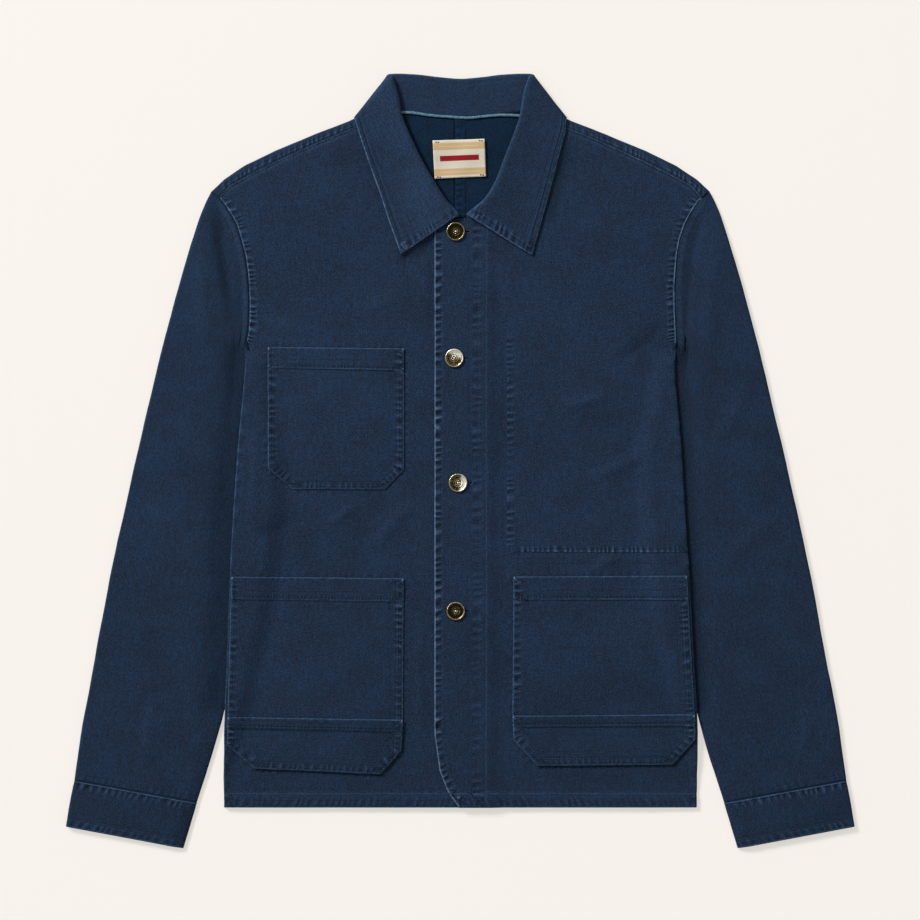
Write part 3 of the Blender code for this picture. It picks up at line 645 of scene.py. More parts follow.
def plainMaterial(name, color, roughness, metallic=0):
    material = bpy.data.materials.new(name)
    material.use_nodes = True
    shader = material.node_tree.nodes["Principled BSDF"]
    feed(shader, {"Base Color": color, "Roughness": roughness, "Metallic": metallic})
    return material, material.node_tree, shader


def makeTwill(name):
    dye, blue, rubbed, pale = finishes[name]
    material, tree, shader = plainMaterial(name, dye, 0.82)
    weave = addNode(tree, "ShaderNodeGroup", node_tree=weaveGroup)
    feed(weave, {"Cloth": placeOn(tree, "UV"), "Place": placeOn(tree, "Object")})
    weave = weave.outputs
    marks = addNode(tree, "ShaderNodeGroup", node_tree=marksGroup)
    feed(marks, {key: attribute(tree, key.lower(), "Vector") for key in ("Pucker", "Sewn", "Worn")})
    feed(marks, {"Fleck": weave["Fleck"]})
    rub, shade, height = marks.outputs
    color = blend(weave["Blue"], dye, blue)
    # the marks' painted shade and the attribute's painted light and shade darken or lighten the dye,
    # with the cloth's own tone
    tone = times(weave["Tone"], shade, maths("ADD", attribute(tree, "paintedLightAndTone"), 1))
    color = vectorMaths("SCALE", {0: color, "Scale": tone})[0]
    color = blend(ease(rub, 0, 1.15, 0, 0.85), color, rubbed)
    color = blend(ease(rub, 0.7, 1.25, 0, 0.8), color, pale)
    feed(shader, {
        "Base Color": color, "Normal": bumped(maths("ADD", weave["Height"], height)),
        "Specular IOR Level": 0.08, "Sheen Weight": 0.035, "Sheen Roughness": 0.4,
        "Sheen Tint": (0.5, 0.68, 1)})
    return material


def makeThread(name, dark, pale):
    material, tree, shader = plainMaterial(name, dark, 0.6)
    where = placeOn(tree, "Object")
    share = madd(grain(where, 900, 1), 1.2, grain(where, 45, 2))
    feed(shader, {"Base Color": blend(ease(share, -0.35, 0.35), dark, pale), "Specular IOR Level": 0.2})
    return material


twill = makeTwill("twill")
twillInside = makeTwill("twill inside")
thread = makeThread("sewing thread", (0.016, 0.032, 0.066), (0.042, 0.085, 0.165))
paleThread = makeThread("pale thread", (0.1, 0.21, 0.33), (0.2, 0.35, 0.48))
darkThread = makeThread("dark thread", (0.006, 0.007, 0.01), (0.02, 0.022, 0.028))


def ride(obj, node=None, slot="twill"):
    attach(obj, "root")
    if node:
        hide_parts(node)
    print("%-26s %6d faces" % (obj.name, len(obj.data.polygons)))


def newObject(name, bm, *materials):
    mesh = bpy.data.meshes.new(name)
    bm.to_mesh(mesh)
    bm.free()
    obj = bpy.data.objects.new(name, mesh)
    bpy.context.scene.collection.objects.link(obj)
    for material in materials:
        mesh.materials.append(material)
    mesh.shade_smooth()
    return obj


skins = {}  # outer skin of each piece, for stitches to lie on
cloth = {
    "under": -0.2,  # normals lower than this rest on what is below
    "hollow": 0.4,
    "over": 0.2,
    "paintedLightUp": 0.00022,  # painted light: paler by, for each millimetre towards the neck
    # painted light: paler by, for each millimetre towards the wearer's right, the lamp's side
    "paintedLightAcross": 0.00006,
}


def cutSlot(bm, low, high):  # an oblong opening between two corners, seen from above
    centre = (Vector(low) + Vector(high)) / 2 * mm
    reach = (Vector(high) - Vector(low)).length * mm
    for corner, normal in ((low, (1, 0, 0)), (high, (1, 0, 0)), (low, (0, 1, 0)), (high, (0, 1, 0))):
        near = [f for f in bm.faces if (f.calc_center_median().xy - centre).length < reach]
        parts = list({part for f in near for part in list(f.verts) + list(f.edges)}) + near
        place = (corner[0] * mm, corner[1] * mm, 0)
        bmesh.ops.bisect_plane(bm, geom=parts, dist=1e-7, plane_co=place, plane_no=normal)
    inside = []
    for face in bm.faces:
        point = face.calc_center_median().xy / mm
        if low[0] < point.x < high[0] and low[1] < point.y < high[1]:
            inside.append(face)
    bmesh.ops.delete(bm, geom=inside, context="FACES")


def addWall(obj, thickness, middle):
    solid = obj.modifiers.new("wall", "SOLIDIFY")
    solid.thickness = thickness * mm
    solid.offset = 0 if middle else -1
    solid.use_even_offset = False
    solid.material_offset = 1
    solid.material_offset_rim = 0
    return solid


def layCloth(node, rows, maps, look, places=None, name=None, closed=False, flip=False, slots=(),
             wall=cut["wall"], wallAt=None, middle=False, slot="twill", outside=twill,
             inside=twillInside):
    # rows are points in mm, maps the same points on the flat cloth, places where the marks are read
    name = name or node + "_cloth"
    columns = len(maps[0])
    count = len(rows[0])
    bm = bmesh.new()
    bmesh.ops.create_grid(bm, x_segments=columns - 1, y_segments=len(rows) - 1, size=1)
    bm.verts.ensure_lookup_table()
    uv = bm.loops.layers.uv.new("UVMap")
    spot = bm.verts.layers.float_vector.new("spot")
    drawn = {key: bm.verts.layers.float_vector.new(key) for key in ("pucker", "sewn", "worn")}
    # painted light and shade of the folds and of the lamp's side, with each piece's own tone
    pale = bm.verts.layers.float.new("paintedLightAndTone")
    group = bm.verts.layers.deform.new()
    places = places or rows
    for index, vert in enumerate(bm.verts):
        row, column = divmod(index, columns)
        vert.co = Vector(rows[row][column % count]) * mm
        vert[spot] = tuple(places[row][column % count][:2]) + (0,)
    for face in bm.faces:
        for loop in face.loops:
            row, column = divmod(loop.vert.index, columns)
            loop[uv].uv = (maps[row][column][0] * mm, maps[row][column][1] * mm)
    if closed:
        bmesh.ops.remove_doubles(bm, verts=bm.verts, dist=1e-6)
    if flip:
        bmesh.ops.reverse_faces(bm, faces=bm.faces)
    for low, high in slots:
        cutSlot(bm, low, high)
    bm.normal_update()
    thickest = wallAt[0] if wallAt else wall
    moves = []
    for vert in bm.verts:
        x, y = vert[spot][0], vert[spot][1]
        rise, found, paintedLightAndTone = readMarks(look, x, y)
        if vert.normal.z < cloth["under"]:  # it rests on what is below, so it only hollows
            rise = -cloth["hollow"] * abs(rise)
        moves.append(vert.normal * rise * mm)
        # painted light: the cloth is drawn paler towards the neck and the wearer's right, where the lamp
        # is
        vert[pale] = paintedLightAndTone + cloth["paintedLightUp"] * vert.co.y / mm - cloth["paintedLightAcross"] * vert.co.x / mm
        for key, layer in drawn.items():
            vert[layer] = found[key]
        if wallAt:
            vert[group][0] = wallAt[1](x, y) / thickest
    for vert, move in zip(bm.verts, moves):
        least = min(vert.co.z, look.get("least", 0) * mm) if vert.normal.z > cloth["over"] else 0
        vert.co += move
        vert.co.z = max(vert.co.z, least)
    skins[name] = BVHTree.FromBMesh(bm)
    area = sum(face.calc_area() for face in bm.faces)
    obj = newObject(name, bm, outside, inside)
    solid = addWall(obj, thickest, middle)
    if wallAt:
        obj.vertex_groups.new(name="plies")
        solid.vertex_group = "plies"
    ride(obj, node, slot)
    print("  area %.4f m2" % area)


pockets = {
    "chest_pocket": {
        "side": -1,
        "left": ((196.5, 116.1), (195.8, -7.5), (170.5, -29)),  # corners down its outer side
        "right": ((57.3, 114.8), (57.3, -8.9), (76.8, -29.3)),
        "band": ((196.5, 95.3), (55.4, 92.1)),
        "flat": (0.140, 0.146),
        "area": 0.01977,
    },
    "lower_pocket_right": {
        "side": -1,
        "left": ((233.2, -117.6), (236.9, -258.1), (237.3, -289.7), (209.8, -313.1)),
        "right": ((57.6, -119.3), (58.4, -263.2), (60.1, -294.8), (81.3, -318.8)),
        "band": ((234.2, -140.3), (58.4, -143)),
        "flat": (0.180, 0.202),
        "area": 0.03475,
    },
    "lower_pocket_left": {
        "side": 1,
        "left": ((230.6, -116.6), (238.4, -258.1), (238.8, -283), (216, -309)),
        "right": ((53.9, -117.6), (52.9, -259.1), (53.9, -283.6), (78.3, -310.4)),
        "band": ((231.5, -140.9), (53.9, -140.9)),
        "flat": (0.186, 0.194),
        "area": 0.03480,
    },
    "pocket_patch_right": {
        "side": -1,
        "left": ((236.9, -260.1), (237.3, -289.7), (209.8, -313.1)),
        "right": ((58.4, -263.2), (60.1, -294.8), (81.3, -318.8)),
        "band": ((236.9, -271.8), (58.4, -275.9)),
        "flat": (0.179, 0.059),
        "area": 0.00922,
    },
    "pocket_patch_left": {
        "side": 1,
        "left": ((238.4, -257.6), (238.8, -283), (216, -309)),
        "right": ((52.9, -259.1), (53.9, -283.6), (78.3, -310.4)),
        "band": ((238.4, -269.3), (52.9, -270.3)),
        "flat": (0.186, 0.053),
        "area": 0.00908,
    },
}
buttons = {
    "places": ((-4.9, 233.6), (-6.4, 104.8), (-2.6, -22.1), (-4.9, -152.6)),
    "slot": (3, 14.6, 0.55),  # from, to, half width, measured from the button's centre
    "rim": {
        "stitches": 40,
        "out": (0.5, 0.55),
        "square": (1.6, 1.3),
        "turn": 4,
        "scale": 0.62,
        "least": 2,  # lower places lie in the slot
    },
}


def outline(spec):  # down the outer side and up the inner one
    return list(spec["left"]) + list(reversed(spec["right"]))


# Soft creases left by wearing and folding, drawn one by one and a little different everywhere
creases = {
    # rise, width, fade at the ends, how much paler the ridge and darker the crease are drawn (painted
    # highlight and painted shade), path
    "front_left": (
        (-0.55, 8, 30, 0.1, (36, 246), (35, 0), (36, -345)),
        # a shallow dip with a painted shadow beside the outer edge of the collar's leaf
        (-0.6, 5.5, 16, 0.5, (113, 332), (101, 285), (91, 234)),
        (1.4, 7, 24, 0.1, (96, 56), (125, 60), (156, 68)),
        (1.4, 6, 20, 0.1, (126, -114), (146, -104), (166, -94)),
        (0.9, 4, 10, 0.1, (-18, -40), (-2, -46), (12, -53)),
        (0.9, 8, 24, 0.1, (30, 215), (44, 190), (52, 156)),
        (1.1, 8, 34, 0.1, (205, 24), (170, -2), (120, -22)),
        (-1.1, 8, 30, 0.1, (214, 152), (190, 120), (150, 98)),
        (0.9, 10, 34, 0.1, (110, 250), (150, 230), (196, 226)),
    ),
    "front_right": (
        # a shallow dip with a painted shadow under the collar's tip
        (-0.7, 6, 8, 0.5, (66, 204), (44, 212), (25, 224)),
        # a shallow dip with a painted shadow on the body beside the lapped front's edge
        (-0.3, 4, 30, 0.5, (30.5, 222), (30.5, 180), (30.5, 120)),
        (1.2, 6, 22, 0.1, (143, -72), (122, -56), (98, -38)),
        (1.1, 8, 30, 0.1, (208, 152), (180, 136), (146, 130)),
        (1.1, 7, 34, 0.1, (216, 44), (207, 0), (214, -64)),
        (0.8, 9, 30, 0.1, (50, 182), (80, 160), (116, 152)),
        (1.1, 8, 24, 0.1, (40, -38), (66, -58), (88, -92)),
        (0.8, 7, 34, 0.1, (34, -150), (44, -200), (40, -290)),
        (-0.9, 8, 30, 0.1, (150, -48), (186, -70), (226, -78)),
    ),
    "back": (
        (1.2, 9, 40, 0.1, (170, 240), (140, 190), (120, 120)),
        (1.2, 9, 50, 0.1, (60, 120), (110, 60), (180, 20)),
        (1.1, 8, 50, 0.1, (40, -60), (90, -110), (150, -130)),
        (1.1, 9, 50, 0.1, (200, -120), (170, -200), (160, -280)),
    ),
    "sleeve_right": (
        # a valley below the armhole, with painted shade in it
        (-1.8, 7, 26, 0.22, (247, 264), (246, 225), (240, 189), (235, 150)),
        # painted shade on the sleeve beside the body's edge
        (-0.3, 10, 34, 0.45, (236, 186), (232, 130), (233, 60)),
        (1, 11, 50, 0.1, (262, 240), (264, 190), (262, 140), (252, 90)),
        (1.1, 10, 40, 0.1, (300, 60), (270, 20), (244, 6)),
        (1, 9, 40, 0.1, (330, -30), (300, -60), (262, -72)),
        (1, 9, 40, 0.1, (352, -150), (318, -170), (280, -168)),
        (1, 8, 34, 0.1, (310, -230), (318, -268), (322, -320)),
    ),
    "sleeve_left": (
        (-2, 7, 22, 0.12, (243, 258), (235, 215), (230.5, 174), (227, 134), (227, 90)),
        (1, 11, 50, 0.1, (260, 236), (256, 190), (252, 140), (250, 80)),
        (1, 10, 44, 0.1, (300, 90), (276, 44), (250, 10)),
        (1.1, 9, 44, 0.1, (334, -50), (300, -70), (264, -110)),
        (1, 9, 40, 0.1, (356, -180), (330, -196), (290, -190)),
        (0.9, 8, 30, 0.1, (350, -240), (352, -280), (346, -318)),
    ),
}


def creasesOf(key):
    return [fold(row[4:], *row[:4]) for row in creases[key]]


# Fronts
fronts = {
    "first": (0, 0.15, 0.5, 1.1, 2, 4),  # columns in from the side edge
    "drops": {0: 1, 0.15: 0.66, 0.5: 0.32, 1.1: 0.1},
    "last": (12, 9.4, 7.2, 5.2, 3.4, 2, 1, 0.35, 0),  # and from the centre edge
    "round": {0: 0.6, 0.35: 0.25, 1: 0.05},
    "spare": 16,
    "edgeGap": 0.2,
    "step": 2.5,
    "swell": 0.5,
    "top": 246,
    "armholeRows": (-1.9, -8.4),
    "lapRows": (1.8, 8.2),
    "hem": [(-34, cut["hemY"]), (246, cut["hemY"])],
    "stitch": [(-26, cut["hemStitch"]), (241, cut["hemStitch"])],
    "facing": [(18.6, 246), (17.9, 60), (18.4, -150), (17.6, -345)],
    "inner": [(50.5, 131), (51, 20), (50.6, -91)],
    "second": [(59.7, 62), (59.2, -86)],
    "lining": [(60, -82.6), (140, -83.4), (232, -82.6)],
    "linedTo": [(56, -93.6), (140, -94.2), (232, -94)],
}


def hemMarks(power, seed):
    return [
        worn(fronts["hem"], power, 1.5, offset=0.4), sewn(fronts["stitch"], 1.3),
        pucker(fronts["hem"], 1, 12.5, 0.5, 7, lean=0.35, seed=seed),
    ]


def frontMarks(side):
    arm, edge = armholePath[side], sidePath[side]
    marks = hemMarks(0.75, 4 + side) + [
        worn(arm, 1.15, 1.1, offset=-0.6), sewn(arm, 0.7, offset=-1.9),
        pucker(arm, -9.5, -1, 1.05, 5.8, lean=0.15, seed=1 + side),
        sewn(shoulderSeam, 1.8, offset=-0.4), worn(shoulderSeam, 0.25, 3, offset=2),
        worn(fronts["stitch"][::-1], 0.55, 0.9, offset=-0.9),
        worn(edge, 0.5, 1.3, offset=-0.5), pucker(edge, -9, 1, 0.35, 19, seed=6 + side, fade=20),
    ]
    for name, spec in pockets.items():
        if spec["side"] == side and "patch" not in name:
            around = outline(spec)
            marks.append(pucker(around + around[:1], 0.5, 7, 0.35, 9, seed=7))
    if side > 0:
        lap = [(cut["lapEdge"], fronts["top"])] + lapLine
        facing, inner = fronts["facing"], fronts["inner"]
        lining, linedTo = fronts["lining"], fronts["linedTo"]
        marks += [
            worn(lap, 1.28, 1.3, offset=0.5), sewn(lap, 0.5, offset=6.4),
            pucker(lap, 0.9, 9.5, 1.3, 8.4, lean=0.1, seed=9), sewn(facing, 0.3),
            pucker(facing, -5.5, 8, 0.55, 9.6, lean=0.05, seed=10), worn(facing, 0.34, 1.4, offset=8.2),
            pucker(inner, -3, 6.5, 0.8, 7.4, lean=0.05, seed=11), sewn(inner, 0.3),
            worn(inner, 0.15, 1.4, offset=-2.4), sewn(fronts["second"], 0.25), sewn(lining, 0.25),
            pucker(linedTo, 0.6, 8.5, 0.95, 5.8, lean=0.05, seed=12), sewn(linedTo, 1.1),
            worn(linedTo, 0.3, 1.5, offset=2.4, fade=20),
        ]
    return marks + creasesOf(sided("front", side))


def buildFront(side):
    table = collarFrontRight if side < 0 else collarFrontLeft
    neck = [away(row[:2], row[2:4], cut["seamGap"]) for row in table[1:]]
    ends = list(zip(armholePath[side], neck + [(cut["lapEdge"], y) for y in lapRows]))
    for edge, (lapX, y) in zip(sidePath[side], lapLine):
        ends.append((edge, (lapX if side > 0 else cut["lapEdge"], y)))
    first, last = fronts["first"], fronts["last"]
    count = int((max(a[0] - b[0] for a, b in ends) - fronts["spare"]) / fronts["step"])
    rows = []
    for index, (upper, lower) in enumerate(zip(ends, ends[1:])):
        cuts = max(1, round(max(gap(upper[0], lower[0]), gap(upper[1], lower[1])) / fronts["step"]))
        for k in range(cuts + (index == len(ends) - 2)):
            t = k / cuts
            outer, centre = mixRows(upper[0], lower[0], t), mixRows(upper[1], lower[1], t)
            width = outer[0] - centre[0]
            spread = width - first[-1] - last[0]
            distances = list(first) + [first[-1] + spread * n / count for n in range(1, count)]
            distances += [width - d for d in last]
            row = []
            for n, distance in enumerate(distances):
                share = distance / width
                x, y = outer[0] - distance, mix(outer[1], centre[1], share)
                if index == 0:
                    seamX, seamY = along(shoulder, share)[2:]
                    x, y = mix(seamX, x, t), mix(seamY, y, t)
                z = frontTop(side, x, y)
                if index >= len(armhole) and n < len(first):
                    z -= fronts["drops"].get(distance, 0) * (z - lift(x, y) - fronts["edgeGap"])
                if n >= len(distances) - len(last):
                    z -= fronts["round"].get(last[n - len(distances)], 0)
                row.append((side * x, y, z))
            rows.append(row)
    look = {"marks": frontMarks(side), "swell": fronts["swell"], "seed": 3 + side}
    start, end, half = buttons["slot"]
    places = buttons["places"] if side > 0 else ()
    slots = [((x + start, y - half), (x + end, y + half)) for x, y in places]
    layCloth(sided("front", side), rows, flatOf(rows), look, flatOf(rows, side), flip=side < 0,
             slots=slots)


# Back, wrapped over the shoulder to the seam on the front
backs = {
    "columns": 84,
    "step": 5,
    "turns": 9,
    "swell": 0.4,
    "top": 346,
    "felledTo": 349,
    "felledOver": 0.6,
    "ply": 0.9,
    "seamRows": (-2.2, -8),
    "centreGap": 0.35,
    "strip": (
        # share of the way to the fold, how far it lies lower
        (0, 0.5), (0.05, 0.12), (0.16, 0), (0.35, 0), (0.58, 0), (0.8, 0),
    ),
    "stripLift": 0.3,
    "stripGap": -0.2,
}


def backMarks(side):
    low, high = cut["felledBand"]
    middle = [((row[0] + row[2]) / 2, (row[1] + row[3]) / 2) for row in shoulder]

    def felled(x):
        return [(side * x, backs["top"]), (side * x, cut["hemY"])]

    return hemMarks(0.7, 25 + side) + [
        worn(shoulderSeam, 0.9, 1.1, offset=-0.6), sewn(shoulderSeam, 0.8, offset=-2.2),
        pucker(middle, -4.2, 3.4, 0.8, 7, lean=0.5, seed=22 + side), worn(shoulderFold, 0.35, 2),
        worn(armholePath[side], 0.5, 1.4, offset=-0.5),
        sewn(felled(low), 0.7, offset=0.6), sewn(felled(high), 0.7, offset=-0.6),
        pucker(felled(0.5), -5, 5, 0.7, 8, seed=27 + side),
    ] + creasesOf("back")


def stripRoll(point, top, foldAt, bottom, turns):
    middle, radius = (top + bottom) / 2, (top - bottom) / 2
    length = gap(point, foldAt)
    result = []
    for k in range(turns):
        turn = mix(80, -80, k / (turns - 1)) * pi / 180
        inset = cut["stripRoll"] * (1 - cos(turn)) / length
        result.append(mixRows(foldAt, point, inset) + (middle + radius * sin(turn),))
    return result


def underRow(spec, share):  # a place on the back's underside, between its side and its centre
    (sideX, sideY), (centreX, centreY), level, inset = spec
    width = sideX - centreX
    distance = inset + (width - inset) * share
    return sideX - distance, mix(sideY, centreY, min(1, distance / width / level))


def buildBack(side):
    columns = backs["columns"]
    centreLine = side * cut["felledBand"][0] - backs["centreGap"]
    neck = [away(row[:2], row[2:4], cut["seamGap"]) for row in reversed(collarBack)]
    ends = list(zip(armholePath[side], neck + [(centreLine, y) for y in backRows]))
    ends[len(neck) - 1] = (ends[len(neck) - 1][0], (centreLine, neck[-1][1]))
    under = [(a, b, cut["backLevel"] if k >= len(neck) else 1, 0) for k, (a, b) in enumerate(ends)]
    under[-1] = under[-1][:3] + (cut["backInset"] / 2,)
    under += [(edge, (centreLine, edge[1]), 1, cut["backInset"]) for edge in sidePath[side]]
    shares = [k / columns for k in range(columns + 1)]
    strips = []
    for share in shares:
        row = along(shoulder, share)
        seam = away(row[2:], row[:2], backs["stripGap"])
        top, bottom = frontTop(-1, *seam), lift(*seam)
        strips.append((seam, top, stripRoll(seam, top, row[:2], bottom, backs["turns"])))
    rows = []
    for t, drop in backs["strip"]:
        points = [mixRows(seam + (top,), roll[0], t) for seam, top, roll in strips]
        rows.append([(x, y, z + backs["stripLift"] - drop) for x, y, z in points])
    for k in range(backs["turns"]):
        rows.append([roll[k] for seam, top, roll in strips])
    flats = [[roll[-1][:2] for seam, top, roll in strips]]
    flats += [[underRow(spec, share) for share in shares] for spec in under]
    for upper, lower in zip(flats, flats[1:]):
        longest = max(gap(upper[0], lower[0]), gap(upper[-1], lower[-1]))
        cuts = max(1, round(longest / backs["step"]))
        for k in range(1, cuts + 1):
            points = [mixRows(a, b, k / cuts) for a, b in zip(upper, lower)]
            rows.append([(x, y, lift(x, y)) for x, y in points])
    places = flatOf(rows)
    maps = flatOf(rows[:1], side)
    for upper, lower in zip(rows, rows[1:]):
        down = [spaceGap(a, b) for a, b in zip(upper, lower)]
        maps.append([(side * b[0], m[1] - d) for b, m, d in zip(lower, maps[-1], down)])
    look = {"marks": backMarks(side), "swell": backs["swell"], "seed": 13 + side}
    band = cut["felledBand"][1] + backs["felledOver"]

    def plies(x, y):
        felled = side > 0 and x < band and y < backs["felledTo"]
        return cut["felledPly"] if felled or y < cut["hemTop"][0] else backs["ply"]

    layCloth(sided("back", side), mirrored(rows, side), maps, look, places, flip=side > 0,
             wallAt=(cut["felledPly"], plies))


# Sleeves and cuffs: flattened tubes
sleeves = {
    "step": 4,
    "top": 4,
    "under": 3,
    "roll": 2,
    "swell": 0.7,
    "least": 2.3,
    "paintedLightAndTone": -0.03,
    "crown": 0.045,  # share of the way round at the top of the armhole
    "seamGap": 0.2,
    "seamDrop": 0.45,
    "clear": (5, 18),  # where the tube is as tall again as it is away from the body
    "crease": {-1: (-1.4, 24), 1: (-1.8, 15)},
    "turns": (80, 40, 0, -40, -80),
    "beside": (128, 60, 0, -80, -160, -266),  # heights of the crease along the body's side
}
cuffs = {
    "height": 5.4,
    "step": 2.6,
    "wall": 1.3,
    "swell": 0.35,
    "paintedLightAndTone": -0.07,
    "top": [cuffRings[0][:2], cuffRings[0][2:]],
    "end": [cuffRings[-1][:2], cuffRings[-1][2:]],
    "rows": (2.4, -9.5),  # stitches in from the top and from the end
}


def armholeRing(side):
    points = armholePath[side]
    top = frontTop(side, *points[0])
    rolls = stripRoll(points[0], top, shoulder[0][:2], lift(*points[0]), 5)
    shifted = offsetPath([p[:2] for p in rolls[2::-1]] + points, sleeves["seamGap"])
    heights = [p[2] for p in rolls]
    around, seam = shifted[:3], shifted[3:]
    drop = sleeves["seamDrop"]
    front = [place + (frontTop(side, *point) - drop,) for place, point in zip(seam, points)]
    back = [place + (lift(*point),) for place, point in zip(seam, points)]
    under = (seam[-1][0] + 0.2, seam[-1][1] - 1, (front[-1][2] + back[-1][2]) / 2)
    roll = [around[k] + (z,) for k, z in zip((2, 1, 0, 1, 2), reversed(heights))]
    return front + [under] + back[::-1] + roll


def ringShares(side):
    points = armholePath[side]
    steps = [gap(a, b) for a, b in zip(points, points[1:])]
    shares = [sleeves["crown"]]
    for step in steps:
        shares.append(shares[-1] + step / sum(steps) * (1 - sleeves["crown"]))
    return shares


def flatRing(side, outer, inner, height, shares, bends, curve=0, swing=0):
    (outerX, outerY), (outerNx, outerNy) = outer
    (innerX, innerY), (innerNx, innerNy) = inner
    innerHeight = min(height, cut["tuckedHeight"])
    start, width = sleeves["clear"]
    upper = []
    for share, bend in zip(shares[:-1], bends):
        x = mix(outerX, innerX + swing, share) + bend[0] * curve
        y = mix(outerY, innerY, share) + bend[1] * curve
        clear = 1 if y > underarm else smooth((x - bodyEdge(side, y) - start) / width)
        upper.append((x, y, mix(innerHeight, height, clear)))
    radius = innerHeight / 2
    last = (innerX + innerNx * radius, innerY + innerNy * radius)
    points = upper + [last + (innerHeight,), (innerX, innerY, radius), last + (0,)]
    points += [point[:2] + (0,) for point in reversed(upper)]
    for angle, bend in zip(reversed(sleeves["turns"]), bends[2 * len(shares) + 1:]):
        turn = angle * pi / 180
        inset = height / 2 * (1 - cos(turn))
        x = outerX + outerNx * inset + bend[0] * curve
        y = outerY + outerNy * inset + bend[1] * curve
        points.append((x, y, height / 2 * (1 + sin(turn))))
    return points


def foldsOf(table, start=None):  # places along both folds of a tube, with the way into it
    outer, inner = [row[:2] for row in table], [row[2:4] for row in table]
    if start:
        outer.insert(0, start[0])
        inner.insert(0, start[1])
    intoOuter = [(-x, -y) for x, y in normalsOut(outer)]
    folds = list(zip(zip(outer, intoOuter), zip(inner, normalsOut(inner))))
    return folds[1:] if start else folds


def tubeRows(rings, step):  # fine rows of a tube from its main rings
    roll = [sleeves["roll"]]
    cuts = [sleeves["top"]] * 10 + roll * 2 + [sleeves["under"]] * 10 + roll * 6
    around = [refine(ring, cuts, closed=True) for ring in rings]
    lengths = [max(gap(a[-2], b[-2]), gap(a[10], b[10])) for a, b in zip(rings, rings[1:])]
    byColumn = [refine(column, [max(1, round(d / step)) for d in lengths]) for column in zip(*around)]
    rows = [[(x, y, max(0, z)) for x, y, z in row] for row in zip(*byColumn)]
    maps = []
    down = [0] * (len(rows[0]) + 1)
    for index, row in enumerate(rows):
        if index:
            steps = [spaceGap(a, b) for a, b in zip(row, rows[index - 1])]
            down = [d - s for d, s in zip(down, steps + steps[:1])]
        run, across = [0], row + row[:1]
        for a, b in zip(across, across[1:]):
            run.append(run[-1] + spaceGap(a, b))
        maps.append(list(zip(run, down)))
    return rows, maps


def layTube(name, side, rings, step, look, **more):
    rows, maps = tubeRows(rings, step)
    layCloth(name, mirrored(rows, side), maps, look, flatOf(rows), closed=True, flip=side < 0, **more)


def sleeveMarks(side):
    arm = armholePath[side]
    outer, inner = [row[:2] for row in sleeveRings], [row[2:4] for row in sleeveRings]
    end = [outer[-2], inner[-2]]
    beside = [(bodyEdge(side, y) + 2, y) for y in sleeves["beside"]]
    return [
        sewn(arm, 1.2, offset=0.7), worn(arm, 0.3, 4, offset=5), sewn(end, 1.1),
        pucker(end, -12, -1, 0.4, 9, lean=0.2, seed=33 + side),
        worn(outer, 0.22, 2), worn(inner, 0.22, 2),
        # a hollow along the body's edge, with painted shade where the body shades the sleeve
        fold(beside, *sleeves["crease"][side], fade=20, pale=0.18),
    ] + creasesOf(sided("sleeve", side))


def buildSleeve(side):
    loop = armholeRing(side)
    shares = ringShares(side)
    outer, inner = shoulder[0][:2], loop[len(shares)][:2]
    chord = shares + [1] + shares[::-1] + [0] * 5
    straight = [mixRows(outer, inner, share) for share in chord]
    bends = [(p[0] - q[0], p[1] - q[1]) for p, q in zip(loop, straight)]
    rings = [loop]
    for row, (outerFold, innerFold) in zip(sleeveRings, foldsOf(sleeveRings, (outer, inner))):
        height, curve, swing = row[4:]
        rings.append(flatRing(side, outerFold, innerFold, height, shares, bends, curve, swing))
    look = {key: sleeves[key] for key in ("swell", "least", "paintedLightAndTone")}
    look.update(marks=sleeveMarks(side), seed=33 + side)
    layTube(sided("sleeve", side), side, rings, sleeves["step"], look)


def buildCuff(side):
    shares = ringShares(side)
    bends = [(0, 0)] * (2 * len(shares) + 6)
    rings = [flatRing(side, *folds, cuffs["height"], shares, bends) for folds in foldsOf(cuffRings)]
    top, end = cuffs["top"], cuffs["end"]
    look = {"swell": cuffs["swell"], "seed": 43 + side, "paintedLightAndTone": cuffs["paintedLightAndTone"], "marks": [
        worn(top, 0.65, 1.2, offset=0.6), sewn(top, 1.4, offset=2.4),
        pucker(top, 1.4, 10, 0.9, 7.5, lean=0.2, seed=44 + side),
        worn(end, 0.75, 1.5, offset=-0.6), sewn(end, 0.6, offset=-9.5),
        pucker(end, -9.5, -1.2, 0.6, 8, lean=0.4, seed=46 + side),
    ]}
    layTube(sided("cuff", side), side, rings, cuffs["step"], look, wall=cuffs["wall"])


# Collar: one band round the neck, rolled under the back and over the fronts
collar = {
    "step": 3,
    "across": 4,
    "swell": 0.45,
    "paintedLightAndTone": 0.07,
    "overLap": (30, 20),  # the leaf comes down from the lapped front
    "stand": (0, 0.5, 0.94),  # shares of the way up
    "backLeaf": (0.04, 0.25, 0.5, 0.75, 1),
    "backHeights": (2.9, 1.85, 0.8),
    "creaseLeaf": (0, 0.22, 0.48, 0.74, 1),
    "creaseHeights": (4.1, 4.15, 4.2),
    "frontLeaf": (0.05, 0.25, 0.5, 0.75, 1),
    "frontHumps": (2.6, 1.6, 0.7, 0.3, 0.3),
    "frontClimb": (0.5, 1.1),
    "turnIn": (138, 40),
    "tip": 92,
    "rows": (5.5, 84),  # stitches in from the edge, and their length at the tips
}


def between(start, end, shares, heights):
    return [mixRows(start, end, t) + (z,) for t, z in zip(shares, heights)]


def backSection(row):
    low, roll, high = collar["backHeights"]
    stand = between(row[:2], row[2:4], collar["stand"], (low,) * 3)
    return stand + [row[2:4] + (roll,)] + between(row[2:4], row[4:6], collar["backLeaf"], (high,) * 5)


